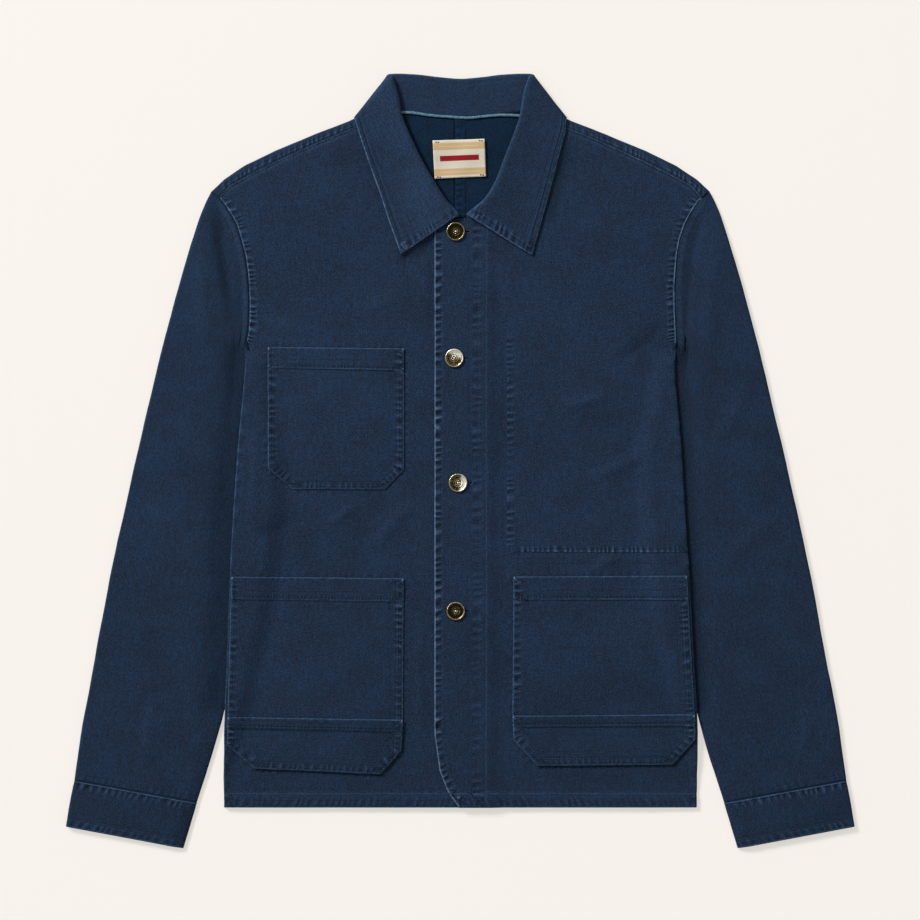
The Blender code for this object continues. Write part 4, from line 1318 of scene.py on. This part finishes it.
def creaseSection(row):
    low, roll, high = collar["creaseHeights"]
    stand = between(row[:2], row[2:4], (0, 0.5, 1), (low,) * 3)
    return stand + [row[4:6] + (roll,)] + between(row[6:8], row[8:], collar["creaseLeaf"], (high,) * 5)


def leafFloor(side, x, y):
    height = frontTop(side, x, y)
    if side < 0:
        start, width = collar["overLap"]
        height += (cut["ply"] + cut["layGap"]) * (1 - smooth((x - start) / width))
    return height + cut["layGap"]


def frontSection(side, row):
    half = cut["collarPly"] / 2
    base = frontTop(side, row[0], row[1]) - half
    heights = [base] + [base + climb for climb in collar["frontClimb"]]
    stand = between(row[:2], row[2:4], collar["stand"], heights)
    places = between(row[2:4], row[4:6], collar["frontLeaf"], collar["frontHumps"])
    leaf = [(x, y, leafFloor(side, x, y) + half + hump) for x, y, hump in places]
    return stand + [(row[2], row[3], (stand[2][2] + leaf[0][2]) / 2)] + leaf


def collarRows():
    sections = []
    for side, table in ((-1, collarFrontRight), (1, collarFrontLeft)):
        half = [frontSection(side, row) for row in reversed(table)]
        half += [creaseSection(row) for row in collarCrease]
        half += [backSection(row) for row in reversed(collarBack)]
        half = mirrored(half, side)
        sections = half if side < 0 else sections + half[-2::-1]
    fine = [refine(section, [collar["across"]] * 8) for section in sections]
    cuts = []
    for a, b in zip(sections, sections[1:]):
        longest = max(gap(a[0], b[0]), gap(a[-1], b[-1]), 4)
        cuts.append(max(2, round(longest / collar["step"])))
    byColumn = [refine(column, cuts) for column in zip(*fine)]
    half = cut["collarPly"] / 2
    return [[(x, y, max(half, z)) for x, y, z in row] for row in zip(*byColumn)]


def collarMaps(rows):  # reach from the leaf's edge, and run along it
    maps, run = [], 0
    for index, row in enumerate(rows):
        if index:
            run += spaceGap(row[-1], rows[index - 1][-1])
        reach = [0]
        for a, b in zip(row[::-1], row[-2::-1]):
            reach.append(reach[-1] + spaceGap(a, b))
        maps.append([(r, run) for r in reach[::-1]])
    return maps


def collarMarks(maps, run):
    roll = [row[collar["across"] * 3] for row in maps]
    edge = [(0, 0), (0, run)]
    marks = [
        worn(edge, 1, 1.3, offset=-0.6), sewn(edge, 1.25, offset=-5.5),
        pucker(edge, -5, -1, 0.4, 9, lean=0.3, seed=54), worn(roll, 0.5, 3),
        # painted light: a broad low swell that draws the leaf on the wearer's right paler, the side the
        # lamp lights
        fold([(44, 0), (44, 150)], 0.25, 42, pale=0.8),
        fold([(46, 10), (40, 60), (44, 110)], 0.5, 9, fade=30),
        fold([(46, run - 14), (36, run - 64), (44, run - 116)], -0.5, 9, fade=30),
    ]
    for v, hand in ((0, 1), (run, -1)):
        tip, spans = [(0, v), (collar["tip"], v)], sorted((hand, 13 * hand))
        marks += [
            worn(tip, 0.9, 1.4, offset=0.6 * hand), sewn(tip, 0.8, offset=5.5 * hand),
            pucker(tip, *spans, 0.85, 6.2, lean=0.1 * hand, seed=56 + hand),
        ]
    middle, reach = collar["turnIn"]
    for v in (middle, run - middle):
        near = [(p[0] + 5, p[1]) for p in roll if abs(p[1] - v) < reach]
        marks.append(fold(near, -1.3, 4, fade=20))
    return marks


collarGrid = collarRows()
collarFlat = collarMaps(collarGrid)
collarRun = collarFlat[-1][0][1]


def buildCollar():
    look = {"marks": collarMarks(collarFlat, collarRun), "swell": collar["swell"], "seed": 53,
            "paintedLightAndTone": collar["paintedLightAndTone"]}
    layCloth("collar", collarGrid, collarFlat, look, collarFlat, middle=True, wall=cut["collarPly"],
             inside=twill)


# Patch pockets and their patches, made from the surface that they lie on
patches = {
    "step": 2.2,
    "edge": (0, 0.5, 1.3),
    "drop": 0.7,
    "slack": 0.8,
    "band": (0.6, 1.4),  # the hem's thickness, and the width of its step
    "rows": (1.9, 7.4),
    "hemRows": (1.6, 3.4),
    "patchRows": (1.8,),
    "tacks": (0.7, 1.2, 1.7, 2.2),
    "tack": (0.36, 1.92),
    "lowTack": 1.6,
    "rowInset": 1.5,
}


def slackAt(spec, x, y):
    left, right = spec["left"], spec["right"]
    wide, tall = left[0][0] - right[0][0], left[0][1] - left[-1][1]
    across = 1 - min(1, abs(x - (left[0][0] + right[0][0]) / 2) / (wide / 2)) ** 2
    down = 1 - min(1, abs(y - (left[0][1] + left[-1][1]) / 2) / (tall / 2)) ** 2
    return patches["slack"] * smooth(across) * smooth(down)


def bandY(spec, x):
    (outerX, outerY), (innerX, innerY) = spec["band"]
    return mix(innerY, outerY, (x - innerX) / (outerX - innerX))


def pocketMarks(name, spec):
    around = outline(spec)
    turn = len(spec["left"])
    seed = 60 + sum(ord(letter) for letter in name) % 17
    top = [spec["left"][0], spec["right"][0]]
    band = [(x, bandY(spec, x)) for x in (spec["band"][0][0], spec["band"][1][0])]
    ends = []
    for (x, y), hand in zip(top, (1, -1)):
        inner = x - 4.4 * hand
        ends.append(sewn([(inner, y), (inner, bandY(spec, x))], 0.8))
    return [
        worn(around, 0.7, 1.1, offset=-0.45), worn(top, 0.62, 1.1, offset=0.5),
        sewn(inward(around, patches["rows"][0]), 0.6), sewn(inward(around, patches["rows"][1]), 0.75),
        pucker(around[:turn], -11.5, -1.2, 0.85, 7.8, lean=0.05, seed=seed),
        pucker(around[turn - 1:turn + 1], -8.6, -1.2, 0.6, 6.4, lean=0.1, seed=seed + 1),
        pucker(around[turn:], -11.5, -1.2, 0.85, 7.8, lean=0.05, seed=seed + 2),
        sewn(band, 1, offset=-2.6), pucker(band, -6, -0.6, 0.35, 4.6, lean=0.1, seed=seed + 3),
        # the sewn mark 1.3 mm below the hem's line is no stitching: it is a painted shadow under the
        # hem's step
        worn(band, 0.25 if "patch" in name else 0.6, 1, offset=-0.5), sewn(band, 1.5, offset=1.3),
        pucker(top, 1, 6, 0.3, 9, seed=seed + 4),
    ] + ends


def buildPatch(name):
    spec = pockets[name]
    side, left, right = spec["side"], spec["left"], spec["right"]
    lower = pockets[sided("lower_pocket", side)] if "patch" in name else None
    tall = max(left[0][1] - left[-1][1], right[0][1] - right[-1][1])
    wide = left[0][0] - right[0][0]
    kinks = [(left[0][1] - p[1]) / (left[0][1] - left[-1][1]) for p in left[1:-1]]
    rowCount, columnCount = round(tall / patches["step"]), round(wide / patches["step"])
    ends = [d / tall for d in patches["edge"]]
    shares = [k / rowCount for k in range(1, rowCount)] + ends + [1 - d for d in ends] + kinks
    around = outline(spec)
    border = mark("edge", around + around[:1], 2)
    thick, width = patches["band"]
    reach = patches["edge"][-1]
    rows = []
    for share in sorted(set(shares)):
        a, b = [(valueAt([(q, p) for p, q in chain], y), y) for chain, y in (
            (left, mix(left[0][1], left[-1][1], share)), (right, mix(right[0][1], right[-1][1], share)))]
        near = [d / gap(a, b) for d in patches["edge"]]
        steps = near + [mix(near[-1], 1 - near[-1], k / columnCount) for k in range(1, columnCount)]
        steps += [1 - d for d in reversed(near)]
        row = []
        for x, y in (mixRows(a, b, t) for t in steps):
            base = frontTop(side, x, y)
            if lower:
                base += cut["layGap"] + cut["ply"] + slackAt(lower, x, y)
            else:
                base += slackAt(spec, x, y)
            doubled = smooth((y - bandY(spec, x)) / width + 0.5)
            z = base + cut["layGap"] + cut["ply"] + thick * doubled
            found = nearMark(border, x, y)
            if found and abs(found[0]) < reach:
                z -= patches["drop"] * (1 - abs(found[0]) / reach) ** 2
            row.append((x, y, z))
        rows.append(row)
    flats, rows = flatOf(rows), mirrored(rows, side)
    marks = pocketMarks(name, spec) + [spec for spec in frontMarks(side) if spec["kind"] == "fold"]
    look = {"marks": marks, "swell": fronts["swell"], "seed": 3 + side}
    layCloth(name, rows, flatOf(rows), look, flats, flip=side < 0)


def inward(around, distance):  # an outline drawn in by a distance
    middle = [sum(c) / len(around) for c in zip(*around)]
    ring = around[-1:] + around + around[:1]
    result = []
    for a, b, c in zip(ring, ring[1:], ring[2:]):
        normals = []
        for start, end in ((a, b), (b, c)):
            dx, dy = end[0] - start[0], end[1] - start[1]
            length = hypot(dx, dy)
            nx, ny = -dy / length, dx / length
            if (middle[0] - start[0]) * nx + (middle[1] - start[1]) * ny < 0:
                nx, ny = -nx, -ny
            normals.append((nx, ny))
        (ax, ay), (bx, by) = normals
        share = distance / max(0.3, 1 + ax * bx + ay * by)
        result.append((b[0] + (ax + bx) * share, b[1] + (ay + by) * share))
    return result


for side in sides:
    buildFront(side)
    buildBack(side)
    buildSleeve(side)
    buildCuff(side)
for name in pockets:
    buildPatch(name)
buildCollar()
print("cloth laid")

# Buttons: dished brass, with rings round a stud; the shank stands on the under front
button = {
    "segments": 44,
    "scale": 0.945,
    "profile": (
        # radius, height above the cloth, brightness of the metal
        (0, 1.75, 1), (0.6, 1.72, 1), (1.05, 1.4, 0.8), (1.35, 0.9, 0.1), (1.9, 0.95, 0.25),
        (2.4, 1.25, 0.9), (2.9, 1.2, 0.6), (3.3, 0.9, 0.1), (3.9, 0.95, 0.3), (4.4, 1.2, 0.85),
        (4.9, 1.18, 0.5), (5.4, 1.1, 0.3), (6.6, 1.25, 0.5), (7.6, 1.45, 0.6), (8.1, 1.4, 0.15),
        (8.5, 1.75, 0.7), (9, 2, 1), (9.5, 1.95, 1), (9.85, 1.6, 0.9), (10, 1, 0.6),
        (9.85, 0.4, 0.3), (9.4, 0.05, 0.1), (2.4, 0, 0),
    ),
    "shank": ((2.4, 0.3, 0), (0, 0.3, 0)),
    "dull": (1, 0.5, 0.55, 0.95),
    "polishAndPaintedReflection": (0, 1, 1, 0.12),
    "toward": ((1, 0.3), (0.45, 1), (1, -0.1), (1, 0.3)),  # where the shiny side lies, drawn with a painted reflection
}


def makeBrass(name, dull, polishAndReflectionLevel, toward, middle):
    material, tree, shader = plainMaterial(name, (0.4, 0.3, 0.15), 0.3, 1)
    where = placeOn(tree, "Object")
    axes = axesOf(where)
    start = -(toward[0] * middle[0] + toward[1] * middle[1]) * mm
    across = madd(axes[1], toward[1], madd(axes[0], toward[0], start))
    fromMiddle = vectorMaths("SUBTRACT", {0: where, 1: (middle[0] * mm, middle[1] * mm, 0)})[0]
    flat = vectorMaths("MULTIPLY", {0: fromMiddle, 1: (1, 1, 0)})[0]
    # painted glint: a white, non-metal dot at the stud's centre, drawn where the highlight shows
    paintedGlint = ease(vectorMaths("LENGTH", {0: flat})["Value"], 0.65 * mm, mm, 1, 0)
    polishAndPaintedReflection = ease(madd(grain(where, 260), 0.003, across), 0.0002, 0.0048, 0, polishAndReflectionLevel)
    stain = grain(where, 420, 4, 0.65)
    ticks = wave(placeOn(tree, "UV"), {"Scale": 3.4, "Distortion": 3, "Detail": 2})
    level = madd(stain, 1.1, maths("SUBTRACT", attribute(tree, "bright"), 0.55 * dull))
    share = ease(madd(polishAndPaintedReflection, 0.4, level), 0.05, 0.75)
    color = blend(share, (0.03, 0.024, 0.01), (0.64, 0.54, 0.31))
    # painted reflection: the shiny side turns near white, as if it mirrored a lamp; its lower roughness
    # is real
    color = blend(times(polishAndPaintedReflection, share, 1.3), color, (1, 0.96, 0.84))
    feed(shader, {
        "Base Color": blend(paintedGlint, color, (0.93, 0.91, 0.84)), "Metallic": maths("SUBTRACT", 1, paintedGlint),
        "Roughness": ease(polishAndPaintedReflection, 0, 0.8, 0.3, 0.44),
        "Normal": bumped(madd(ticks, 0.05, times(stain, 0.25)))})
    return material


def buildButton(number, x, y, material):
    under = frontTop(-1, -x, y)
    cap = under + 2 * cut["layGap"] + cut["ply"]
    profile = [(r * button["scale"], cap + h, b) for r, h, b in button["profile"]]
    profile += [(r, under + h, b) for r, h, b in button["shank"]]
    bm = bmesh.new()
    bright = bm.verts.layers.float.new("bright")
    uv = bm.loops.layers.uv.new("UVMap")
    verts = []
    for r, z, level in profile:
        vert = bm.verts.new(((x + r) * mm, y * mm, z * mm))
        vert[bright] = level
        verts.append(vert)
    edges = [bm.edges.new(pair) for pair in zip(verts, verts[1:])]
    bmesh.ops.spin(bm, geom=verts + edges, cent=(x * mm, y * mm, 0), axis=(0, 0, 1),
                   angle=tau, steps=button["segments"], use_merge=True)
    bmesh.ops.remove_doubles(bm, verts=bm.verts, dist=1e-7)
    bmesh.ops.recalc_face_normals(bm, faces=bm.faces)
    for face in bm.faces:
        centre = face.calc_center_median() / mm
        middle = atan2(centre.y - y, centre.x - x) / tau
        for loop in face.loops:
            spot = loop.vert.co / mm
            turn = atan2(spot.y - y, spot.x - x) / tau
            turn += round(middle - turn)
            loop[uv].uv = (turn * 4, hypot(spot.x - x, spot.y - y) * 0.1)
    ride(newObject("brass_button_%d" % number, bm, material), "button_%d" % number, "button")


for number, (x, y) in enumerate(buttons["places"], 1):
    dull, polishAndReflectionLevel, toward = (button[key][number - 1] for key in ("dull", "polishAndPaintedReflection", "toward"))
    brass = makeBrass("antique brass %d" % number, dull, polishAndReflectionLevel, toward, (x, y))
    buildButton(number, x, y, brass)


# Woven label and neck tape
label = {
    "corners": ((-28.4, 326.3), (24.6, 328), (26, 290), (-26.4, 287.6)),
    "flat": (53, 38.4),
    "cells": (36, 26),
    "wall": 0.5,
    "swell": 0.25,
    "rise": 0.3,
    "curl": (0.5, 6, 0.4),  # height, how sharp, and its share along the lower edge
    "wave": (0.25, 9, 4),
    "bands": ((2.9, 10), (28.9, 35.9)),  # down from the label's top
    "lines": ((6.1, 6.9), (32, 32.8)),
    "bar": (15.8, 21.2),
    "tacks": ((2.4, -1.3), (-6.2, -1.4), (-6.4, 2.1), (2.2, 2.2)),  # in from the corners
    "tackRows": (0, -0.45, -0.9),
    "tack": (4.3, -0.2),
}
tape = {
    "path": (
        (-63, 355.4), (-46, 354.4), (-30, 352), (0, 349.8),
        (10, 349.7), (35, 352), (50, 352.2), (62, 351.6),
    ),
    "cuts": 9,
    "height": 3.7,
    "across": (-1, -0.85, -0.5, 0, 0.5, 0.85, 1),
    "wobble": (0.3, 14, 3),
    "half": 1.35,
    "round": (0.5, 3),
    "flatHalf": 1.8,
    "wall": 0.6,
    "swell": 0.15,
}


def bars(value, *spans):  # 1 inside any of the spans
    total = None
    for low, high in spans:
        one = times(ease(value, low - 0.25, low + 0.25), ease(value, high + 0.25, high - 0.25))
        total = maths("MAXIMUM", total, one) if total else one
    return total


def makeLabel():
    material, tree, shader = plainMaterial("woven label", (0.7, 0.6, 0.45), 0.75)
    flat = stretched(placeOn(tree, "UV"), 1000, 1000)
    across, down = axesOf(flat)[:2]
    across = maths("ABSOLUTE", across)
    ribs = wave(flat, {"Scale": 0.8, "Distortion": 0.6}, "Y")
    speck = grain(flat, 1.3, 2)
    lines = times(bars(down, *label["lines"]), ease(across, 20.4, 20))
    red = times(bars(down, label["bar"]), ease(across, 20.2, 19.8))
    color = blend(bars(down, *label["bands"]), (0.8, 0.73, 0.6), (0.66, 0.47, 0.26))
    color = blend(red, blend(lines, color, (0.74, 0.58, 0.38)), (0.33, 0.01, 0.018))
    tone = madd(speck, 0.5, madd(ribs, 0.14, 0.9))
    feed(shader, {
        "Base Color": vectorMaths("SCALE", {0: color, "Scale": tone})[0], "Specular IOR Level": 0.15,
        "Normal": bumped(madd(ribs, 0.05, madd(speck, 0.12, times(red, 0.1))))})
    return material


def makeTape():
    material, tree, shader = plainMaterial("neck tape", (0.16, 0.3, 0.43), 0.7)
    flat = stretched(placeOn(tree, "UV"), 1000, 1000)
    ribs = wave(flat, {"Scale": 0.55, "Distortion": 2.2, "Detail": 1}, "DIAGONAL")
    share = madd(grain(flat, 0.35), 2.4, madd(ribs, 0.7, 0.05))
    feed(shader, {
        "Base Color": blend(share, (0.045, 0.115, 0.185), (0.2, 0.35, 0.44)), "Specular IOR Level": 0.15,
        "Normal": bumped(times(ribs, 0.1))})
    return material


def buildLabel():
    across, down = label["cells"]
    corners = label["corners"]
    wide, long = label["flat"]
    curled, sharp, low = label["curl"]
    swell, perWidth, perLength = label["wave"]
    rows, maps = [], []
    for row in range(down + 1):
        t = row / down
        left, right = mixRows(corners[0], corners[3], t), mixRows(corners[1], corners[2], t)
        line, flat = [], []
        for k in range(across + 1):
            s = k / across
            x, y = mixRows(left, right, s)
            curl = curled * abs(2 * s - 1) ** sharp * (1 if t < 0.5 else low)
            curl += swell * sin(perWidth * s + perLength * t)
            top = lift(0, y) + cut["felledPly"] + cut["layGap"] + label["wall"] + label["rise"]
            line.append((x, y, top + curl))
            flat.append(((s - 0.5) * wide, t * long))
        rows.append(line)
        maps.append(flat)
    woven = makeLabel()
    layCloth("label", rows, maps, {"marks": [], "swell": label["swell"], "seed": 71}, name="woven_label",
             flip=True, wall=label["wall"], inside=woven, outside=woven, slot="label")


def buildTape():
    points = refine(tape["path"], [tape["cuts"]] * (len(tape["path"]) - 1))
    rows, maps, run = [], [], 0
    high = tape["height"] + cut["layGap"] + cut["trimPly"]
    (amount, span, seed), (drop, sharp) = tape["wobble"], tape["round"]
    for index, (x, y) in enumerate(points):
        run += gap((x, y), points[index - 1]) if index else 0
        y += amount * noise.noise((run / span, seed, 0))
        rows.append([(x, y + tape["half"] * t, high - drop * abs(t) ** sharp) for t in tape["across"]])
        maps.append([(run, tape["flatHalf"] * t) for t in tape["across"]])
    band = makeTape()
    layCloth("neck_tape", rows, maps, {"marks": [], "swell": tape["swell"], "seed": 73}, flip=True,
             wall=tape["wall"], inside=band, outside=band, slot="tape")


buildLabel()
buildTape()
print("trims made")

# Sewing: short stitches laid on the skins of the pieces
stitch = {
    "length": 2.3,
    "width": 0.5,
    "height": 0.34,
    "pitch": 3.1,
    "sink": 0.05,
    "wander": (0.12, 9, 0.1),
    "above": 0.08,  # metres from which a place is looked for, from above and from below
    "below": -0.05,
}


def alongPath(points, pitch):
    lengths = [gap(a, b) for a, b in zip(points, points[1:])]
    total, at, index, before = sum(lengths), pitch / 2, 0, 0
    amount, span, seed = stitch["wander"]
    while at < total:
        while index < len(lengths) - 1 and at > before + lengths[index]:
            before += lengths[index]
            index += 1
        a, b = points[index], points[index + 1]
        t = (at - before) / lengths[index]
        dx, dy = (b[0] - a[0]) / lengths[index], (b[1] - a[1]) / lengths[index]
        off = amount * noise.noise((at / span, points[0][0] * seed, points[0][1] * seed))
        yield (mix(a[0], b[0], t) - dy * off, mix(a[1], b[1], t) + dx * off), (dx, dy)
        at += pitch


def touch(skin, x, y, below=False):  # place and outward normal of a skin over or under a point
    start, down = (stitch["below"], 1) if below else (stitch["above"], -1)
    hit, normal = skins[skin].ray_cast(Vector((x * mm, y * mm, start)), Vector((0, 0, down)))[:2]
    if hit and normal.z * down > 0:
        normal = -normal
    return hit, normal


def addStitch(bm, place, direction, normal, scale=1):
    forward = (direction - normal * direction.dot(normal)).normalized()
    across = normal.cross(forward)
    turn = Matrix((forward, across, normal)).transposed().to_4x4()
    length, width, height = (stitch[key] * mm / 2 for key in ("length", "width", "height"))
    size = Matrix.Diagonal((length * scale, width, height, 1))
    move = Matrix.Translation(place + normal * stitch["sink"] * mm)
    bmesh.ops.create_icosphere(bm, subdivisions=1, radius=1, matrix=move @ turn @ size)


def sew(name, runs, material=thread, below=False, pitch=stitch["pitch"], scale=1, slot="twill"):
    # runs are (skin, side, path); the side turns a half's measures into its own place
    bm = bmesh.new()
    for skin, side, points in runs:
        for (x, y), (dx, dy) in alongPath(points, pitch):
            hit, normal = touch(skin, side * x, y, below)
            if hit:
                addStitch(bm, hit, Vector((side * dx, dy, 0)), normal, scale)
    ride(newObject(name, bm, material), None, slot)


def clothOf(kind, side):
    return sided(kind, side) + "_cloth"


def sewFronts():
    runs = []
    for side in sides:
        lines = [offsetPath(armholePath[side], off) for off in fronts["armholeRows"]]
        lines.append([(-20 if side > 0 else 4, cut["hemStitch"]), (240, cut["hemStitch"])])
        runs += [(clothOf("front", side), side, line) for line in lines]
    lap = [(cut["lapEdge"], 236)] + lapLine[:-1]
    lines = [offsetPath(lap, off) for off in fronts["lapRows"]]
    lines += [fronts[key] for key in ("facing", "inner", "second", "lining", "linedTo")]
    sew("stitches_fronts", runs + [("front_left_cloth", 1, line) for line in lines])


def sewPockets():
    runs, tacks = [], []
    for name, spec in pockets.items():
        skin, side, around = name + "_cloth", spec["side"], outline(spec)
        lines = [inward(around, distance) for distance in patches["rows"]]
        for drop in patches["patchRows"] if "patch" in name else patches["hemRows"]:
            inset = patches["rowInset"]
            ends = (spec["band"][0][0] - inset, spec["right"][0][0] + inset)
            lines.append([(x, bandY(spec, x) + drop) for x in ends])
        runs += [(skin, side, line) for line in lines]
        for (x, y), hand in ((spec["left"][0], -1), (spec["right"][0], 1)):
            start, end = (x + reach * hand for reach in patches["tack"])
            heights = [y - drop for drop in patches["tacks"]] + [bandY(spec, x) + patches["lowTack"]]
            tacks += [(skin, side, [(start, high), (end, high)]) for high in heights]
    sew("stitches_pockets", runs)
    sew("bar_tacks", tacks, paleThread, pitch=1.5, scale=0.75)


def sewCuffs():
    runs = []
    for side in sides:
        for path, off in zip((cuffs["top"], cuffs["end"]), cuffs["rows"]):
            a, b = offsetPath(path, off)
            runs.append((clothOf("cuff", side), side, [mixRows(a, b, t) for t in (0.02, 0.98)]))
    sew("stitches_cuffs", runs)
    sew("stitches_cuffs_below", runs, below=True)


def sewBacks():
    runs, lowRuns = [], []
    for side in sides:
        skin = clothOf("back", side)
        runs += [(skin, side, offsetPath(shoulderSeam, off)) for off in backs["seamRows"]]
        lowRuns.append((skin, side, [(6, cut["hemStitch"]), (238, cut["hemStitch"])]))
    low, high = cut["felledBand"]
    lowRuns += [("back_left_cloth", 1, [(x, backs["top"]), (x, -350)]) for x in (low + 1.6, high - 1.4)]
    sew("stitches_shoulders", runs)
    sew("stitches_back_below", lowRuns, below=True)


def onCollar(reach, v):  # the place on the collar at a reach and a run
    index = max(1, next((k for k, row in enumerate(collarFlat) if row[0][1] >= v), len(collarFlat) - 1))
    share = (v - collarFlat[index - 1][0][1]) / (collarFlat[index][0][1] - collarFlat[index - 1][0][1])
    ends = []
    for flat, row in zip(collarFlat[index - 1:index + 1], collarGrid[index - 1:index + 1]):
        column = next(c for c in range(len(flat) - 1, -1, -1) if flat[c][0] >= reach or c == 0)
        other = min(column + 1, len(flat) - 1)
        a, b = flat[column][0], flat[other][0]
        ends.append(mixRows(row[column], row[other], (a - reach) / (a - b) if a != b else 0))
    return Vector(mixRows(ends[0], ends[1], share)) * mm


def sewCollar():
    bm = bmesh.new()
    inset, long = collar["rows"]
    paths = [[(inset, 6), (inset, collarRun - 6)]]
    paths += [[(inset, v), (long, v)] for v in (inset, collarRun - inset)]
    for points in paths:
        for (reach, v), (dr, dv) in alongPath(points, stitch["pitch"]):
            here, there = onCollar(reach, v), onCollar(reach + dr, v + dv)
            hit, normal = skins["collar_cloth"].find_nearest(here)[:2]
            addStitch(bm, hit + normal * cut["collarPly"] / 2 * mm, there - here, normal)
    ride(newObject("stitches_collar", bm, thread))


def sewLabel():
    tacks = []
    for (x, y), (inX, inY) in zip(label["corners"], label["tacks"]):
        x, y = x + inX, y + inY
        for row in label["tackRows"]:
            ends = [(x, y + row), (x + label["tack"][0], y + row + label["tack"][1])]
            tacks.append(("woven_label", 1, ends))
    sew("label_stitches", tacks, darkThread, pitch=2.3, scale=0.85, slot="label")


def sewButtonholes():
    bm = bmesh.new()
    start, end, half = buttons["slot"]
    rim = buttons["rim"]
    wide, tall = (end - start) / 2 + rim["out"][0], half + rim["out"][1]
    for x, y in buttons["places"]:
        middle = x + (start + end) / 2
        for k in range(rim["stitches"]):
            turn = tau * k / rim["stitches"]
            px = middle + wide * max(-1, min(1, rim["square"][0] * cos(turn)))
            py = y + tall * max(-1, min(1, rim["square"][1] * sin(turn)))
            hit, normal = touch("front_left_cloth", px, py)
            if hit and hit.z >= rim["least"] * mm:
                outward = Vector((px - middle, (py - y) * rim["turn"], 0)).normalized()
                addStitch(bm, hit, outward, normal, rim["scale"])
    ride(newObject("buttonhole_stitches", bm, thread))


sewFronts()
sewPockets()
sewCuffs()
sewBacks()
sewCollar()
sewLabel()
sewButtonholes()
print("sewing done")

# Flat pieces of cloth that the garment is cut from, with what they lie on
sheets = (
    # sheet, flat size, what it lies on, area where what shows of the cut isn't the whole rectangle
    ("front_right_cloth", (0.268, 0.705), ("back_right_cloth",), 0.168),
    ("front_left_cloth", (0.268, 0.705), ("back_left_cloth", "front_right_cloth"), 0.168),
    ("back_right_cloth", (0.247, 0.720), ("floor",), 0.160),
    ("back_left_cloth", (0.247, 0.720), ("floor",), 0.164),
    ("sleeve_right_cloth", (0.345, 0.610), ("floor",), 0.141),
    ("sleeve_left_cloth", (0.345, 0.610), ("floor",), 0.141),
    ("cuff_right_cloth", (0.270, 0.047), ("floor",), None),
    ("cuff_left_cloth", (0.270, 0.047), ("floor",), None),
    ("collar_cloth", (0.520, 0.085),
     ("front_right_cloth", "front_left_cloth", "back_right_cloth", "back_left_cloth"), None),
    ("woven_label", (0.053, 0.0384), ("back_left_cloth", "back_right_cloth"), None),
    ("neck_tape_cloth", (0.110, 0.010), ("collar_cloth",), 0.00040),
)


def markSheet(name, flat, below, area):
    pieces = bpy.data.objects
    [pieces[n] for n in below]


# Stage
stage = {
    "pixel": 1.02,  # millimetres of the jacket to one pixel of the photo
    "pixels": 920,
    "lens": 100,
    "sensor": 36,
    "middle": (-0.5, 1),
    "white": (1, 0.99, 0.965),
    "lamp": (-2.3, 2.2, 2),
    "sky": 0.39,
    "rig": (0.16, 0.16, 0.16),  # the dark of the camera's rig straight above
    "rigEdge": (0.93, 0.985),
    "floor": (0.967, 0.931, 0.876),
    "floorSize": 4,
    "floorDrop": 0.4,
    "glow": 0.6,
}
lamps = {
    "window": {"kind": "AREA", "at": stage["lamp"], "energy": 30, "size": 0.9},
    "sun": {"kind": "SUN", "at": (0, 0, 0), "energy": 2.6, "angle": 0.26},
}


def makeFloor():
    glow = stage["glow"]
    shade = tuple(c * (1 - glow) for c in stage["floor"])
    material, shader = plainMaterial("pale floor", shade, 0.9)[::2]
    feed(shader, {"Specular IOR Level": 0, "Emission Color": stage["floor"], "Emission Strength": glow})
    bm = bmesh.new()
    place = Matrix.Translation((0, 0, -stage["floorDrop"] * mm))
    bmesh.ops.create_grid(bm, x_segments=1, y_segments=1, size=stage["floorSize"], matrix=place)
    newObject("floor", bm, material)


def makeCamera(scene):
    camera = bpy.data.cameras.new("camera")
    camera.lens, camera.sensor_width = stage["lens"], stage["sensor"]
    eye = bpy.data.objects.new("camera", camera)
    scene.collection.objects.link(eye)
    height = stage["pixels"] * stage["pixel"] * mm / (stage["sensor"] / stage["lens"])
    eye.location = (stage["middle"][0] * mm, stage["middle"][1] * mm, height)
    scene.camera = eye


def makeLamps(scene):
    for name, spec in lamps.items():
        light = bpy.data.lights.new(name, spec["kind"])
        light.color = stage["white"]
        for key in ("energy", "size", "angle"):
            if key in spec:
                setattr(light, key, spec[key])
        lamp = bpy.data.objects.new(name, light)
        lamp.location = spec["at"]
        lamp.rotation_euler = (-Vector(stage["lamp"])).to_track_quat("-Z", "Y").to_euler()
        scene.collection.objects.link(lamp)


def makeSky(scene):
    world = bpy.data.worlds.new("studio")
    world.use_nodes = True
    upward = axesOf(placeOn(world.node_tree, "Object"))["Z"]
    color = blend(ease(upward, *stage["rigEdge"]), stage["white"], stage["rig"])
    feed(world.node_tree.nodes["Background"], {"Color": color, "Strength": stage["sky"]})
    scene.world = world
    scene.view_settings.view_transform = "Standard"


makeFloor()
for row in sheets:
    markSheet(*row)
for name, spec in pockets.items():
    below = clothOf("lower_pocket" if "patch" in name else "front", spec["side"])
    markSheet(name + "_cloth", spec["flat"], [below], spec["area"])
makeCamera(bpy.context.scene)
makeLamps(bpy.context.scene)
makeSky(bpy.context.scene)
print("stage set")
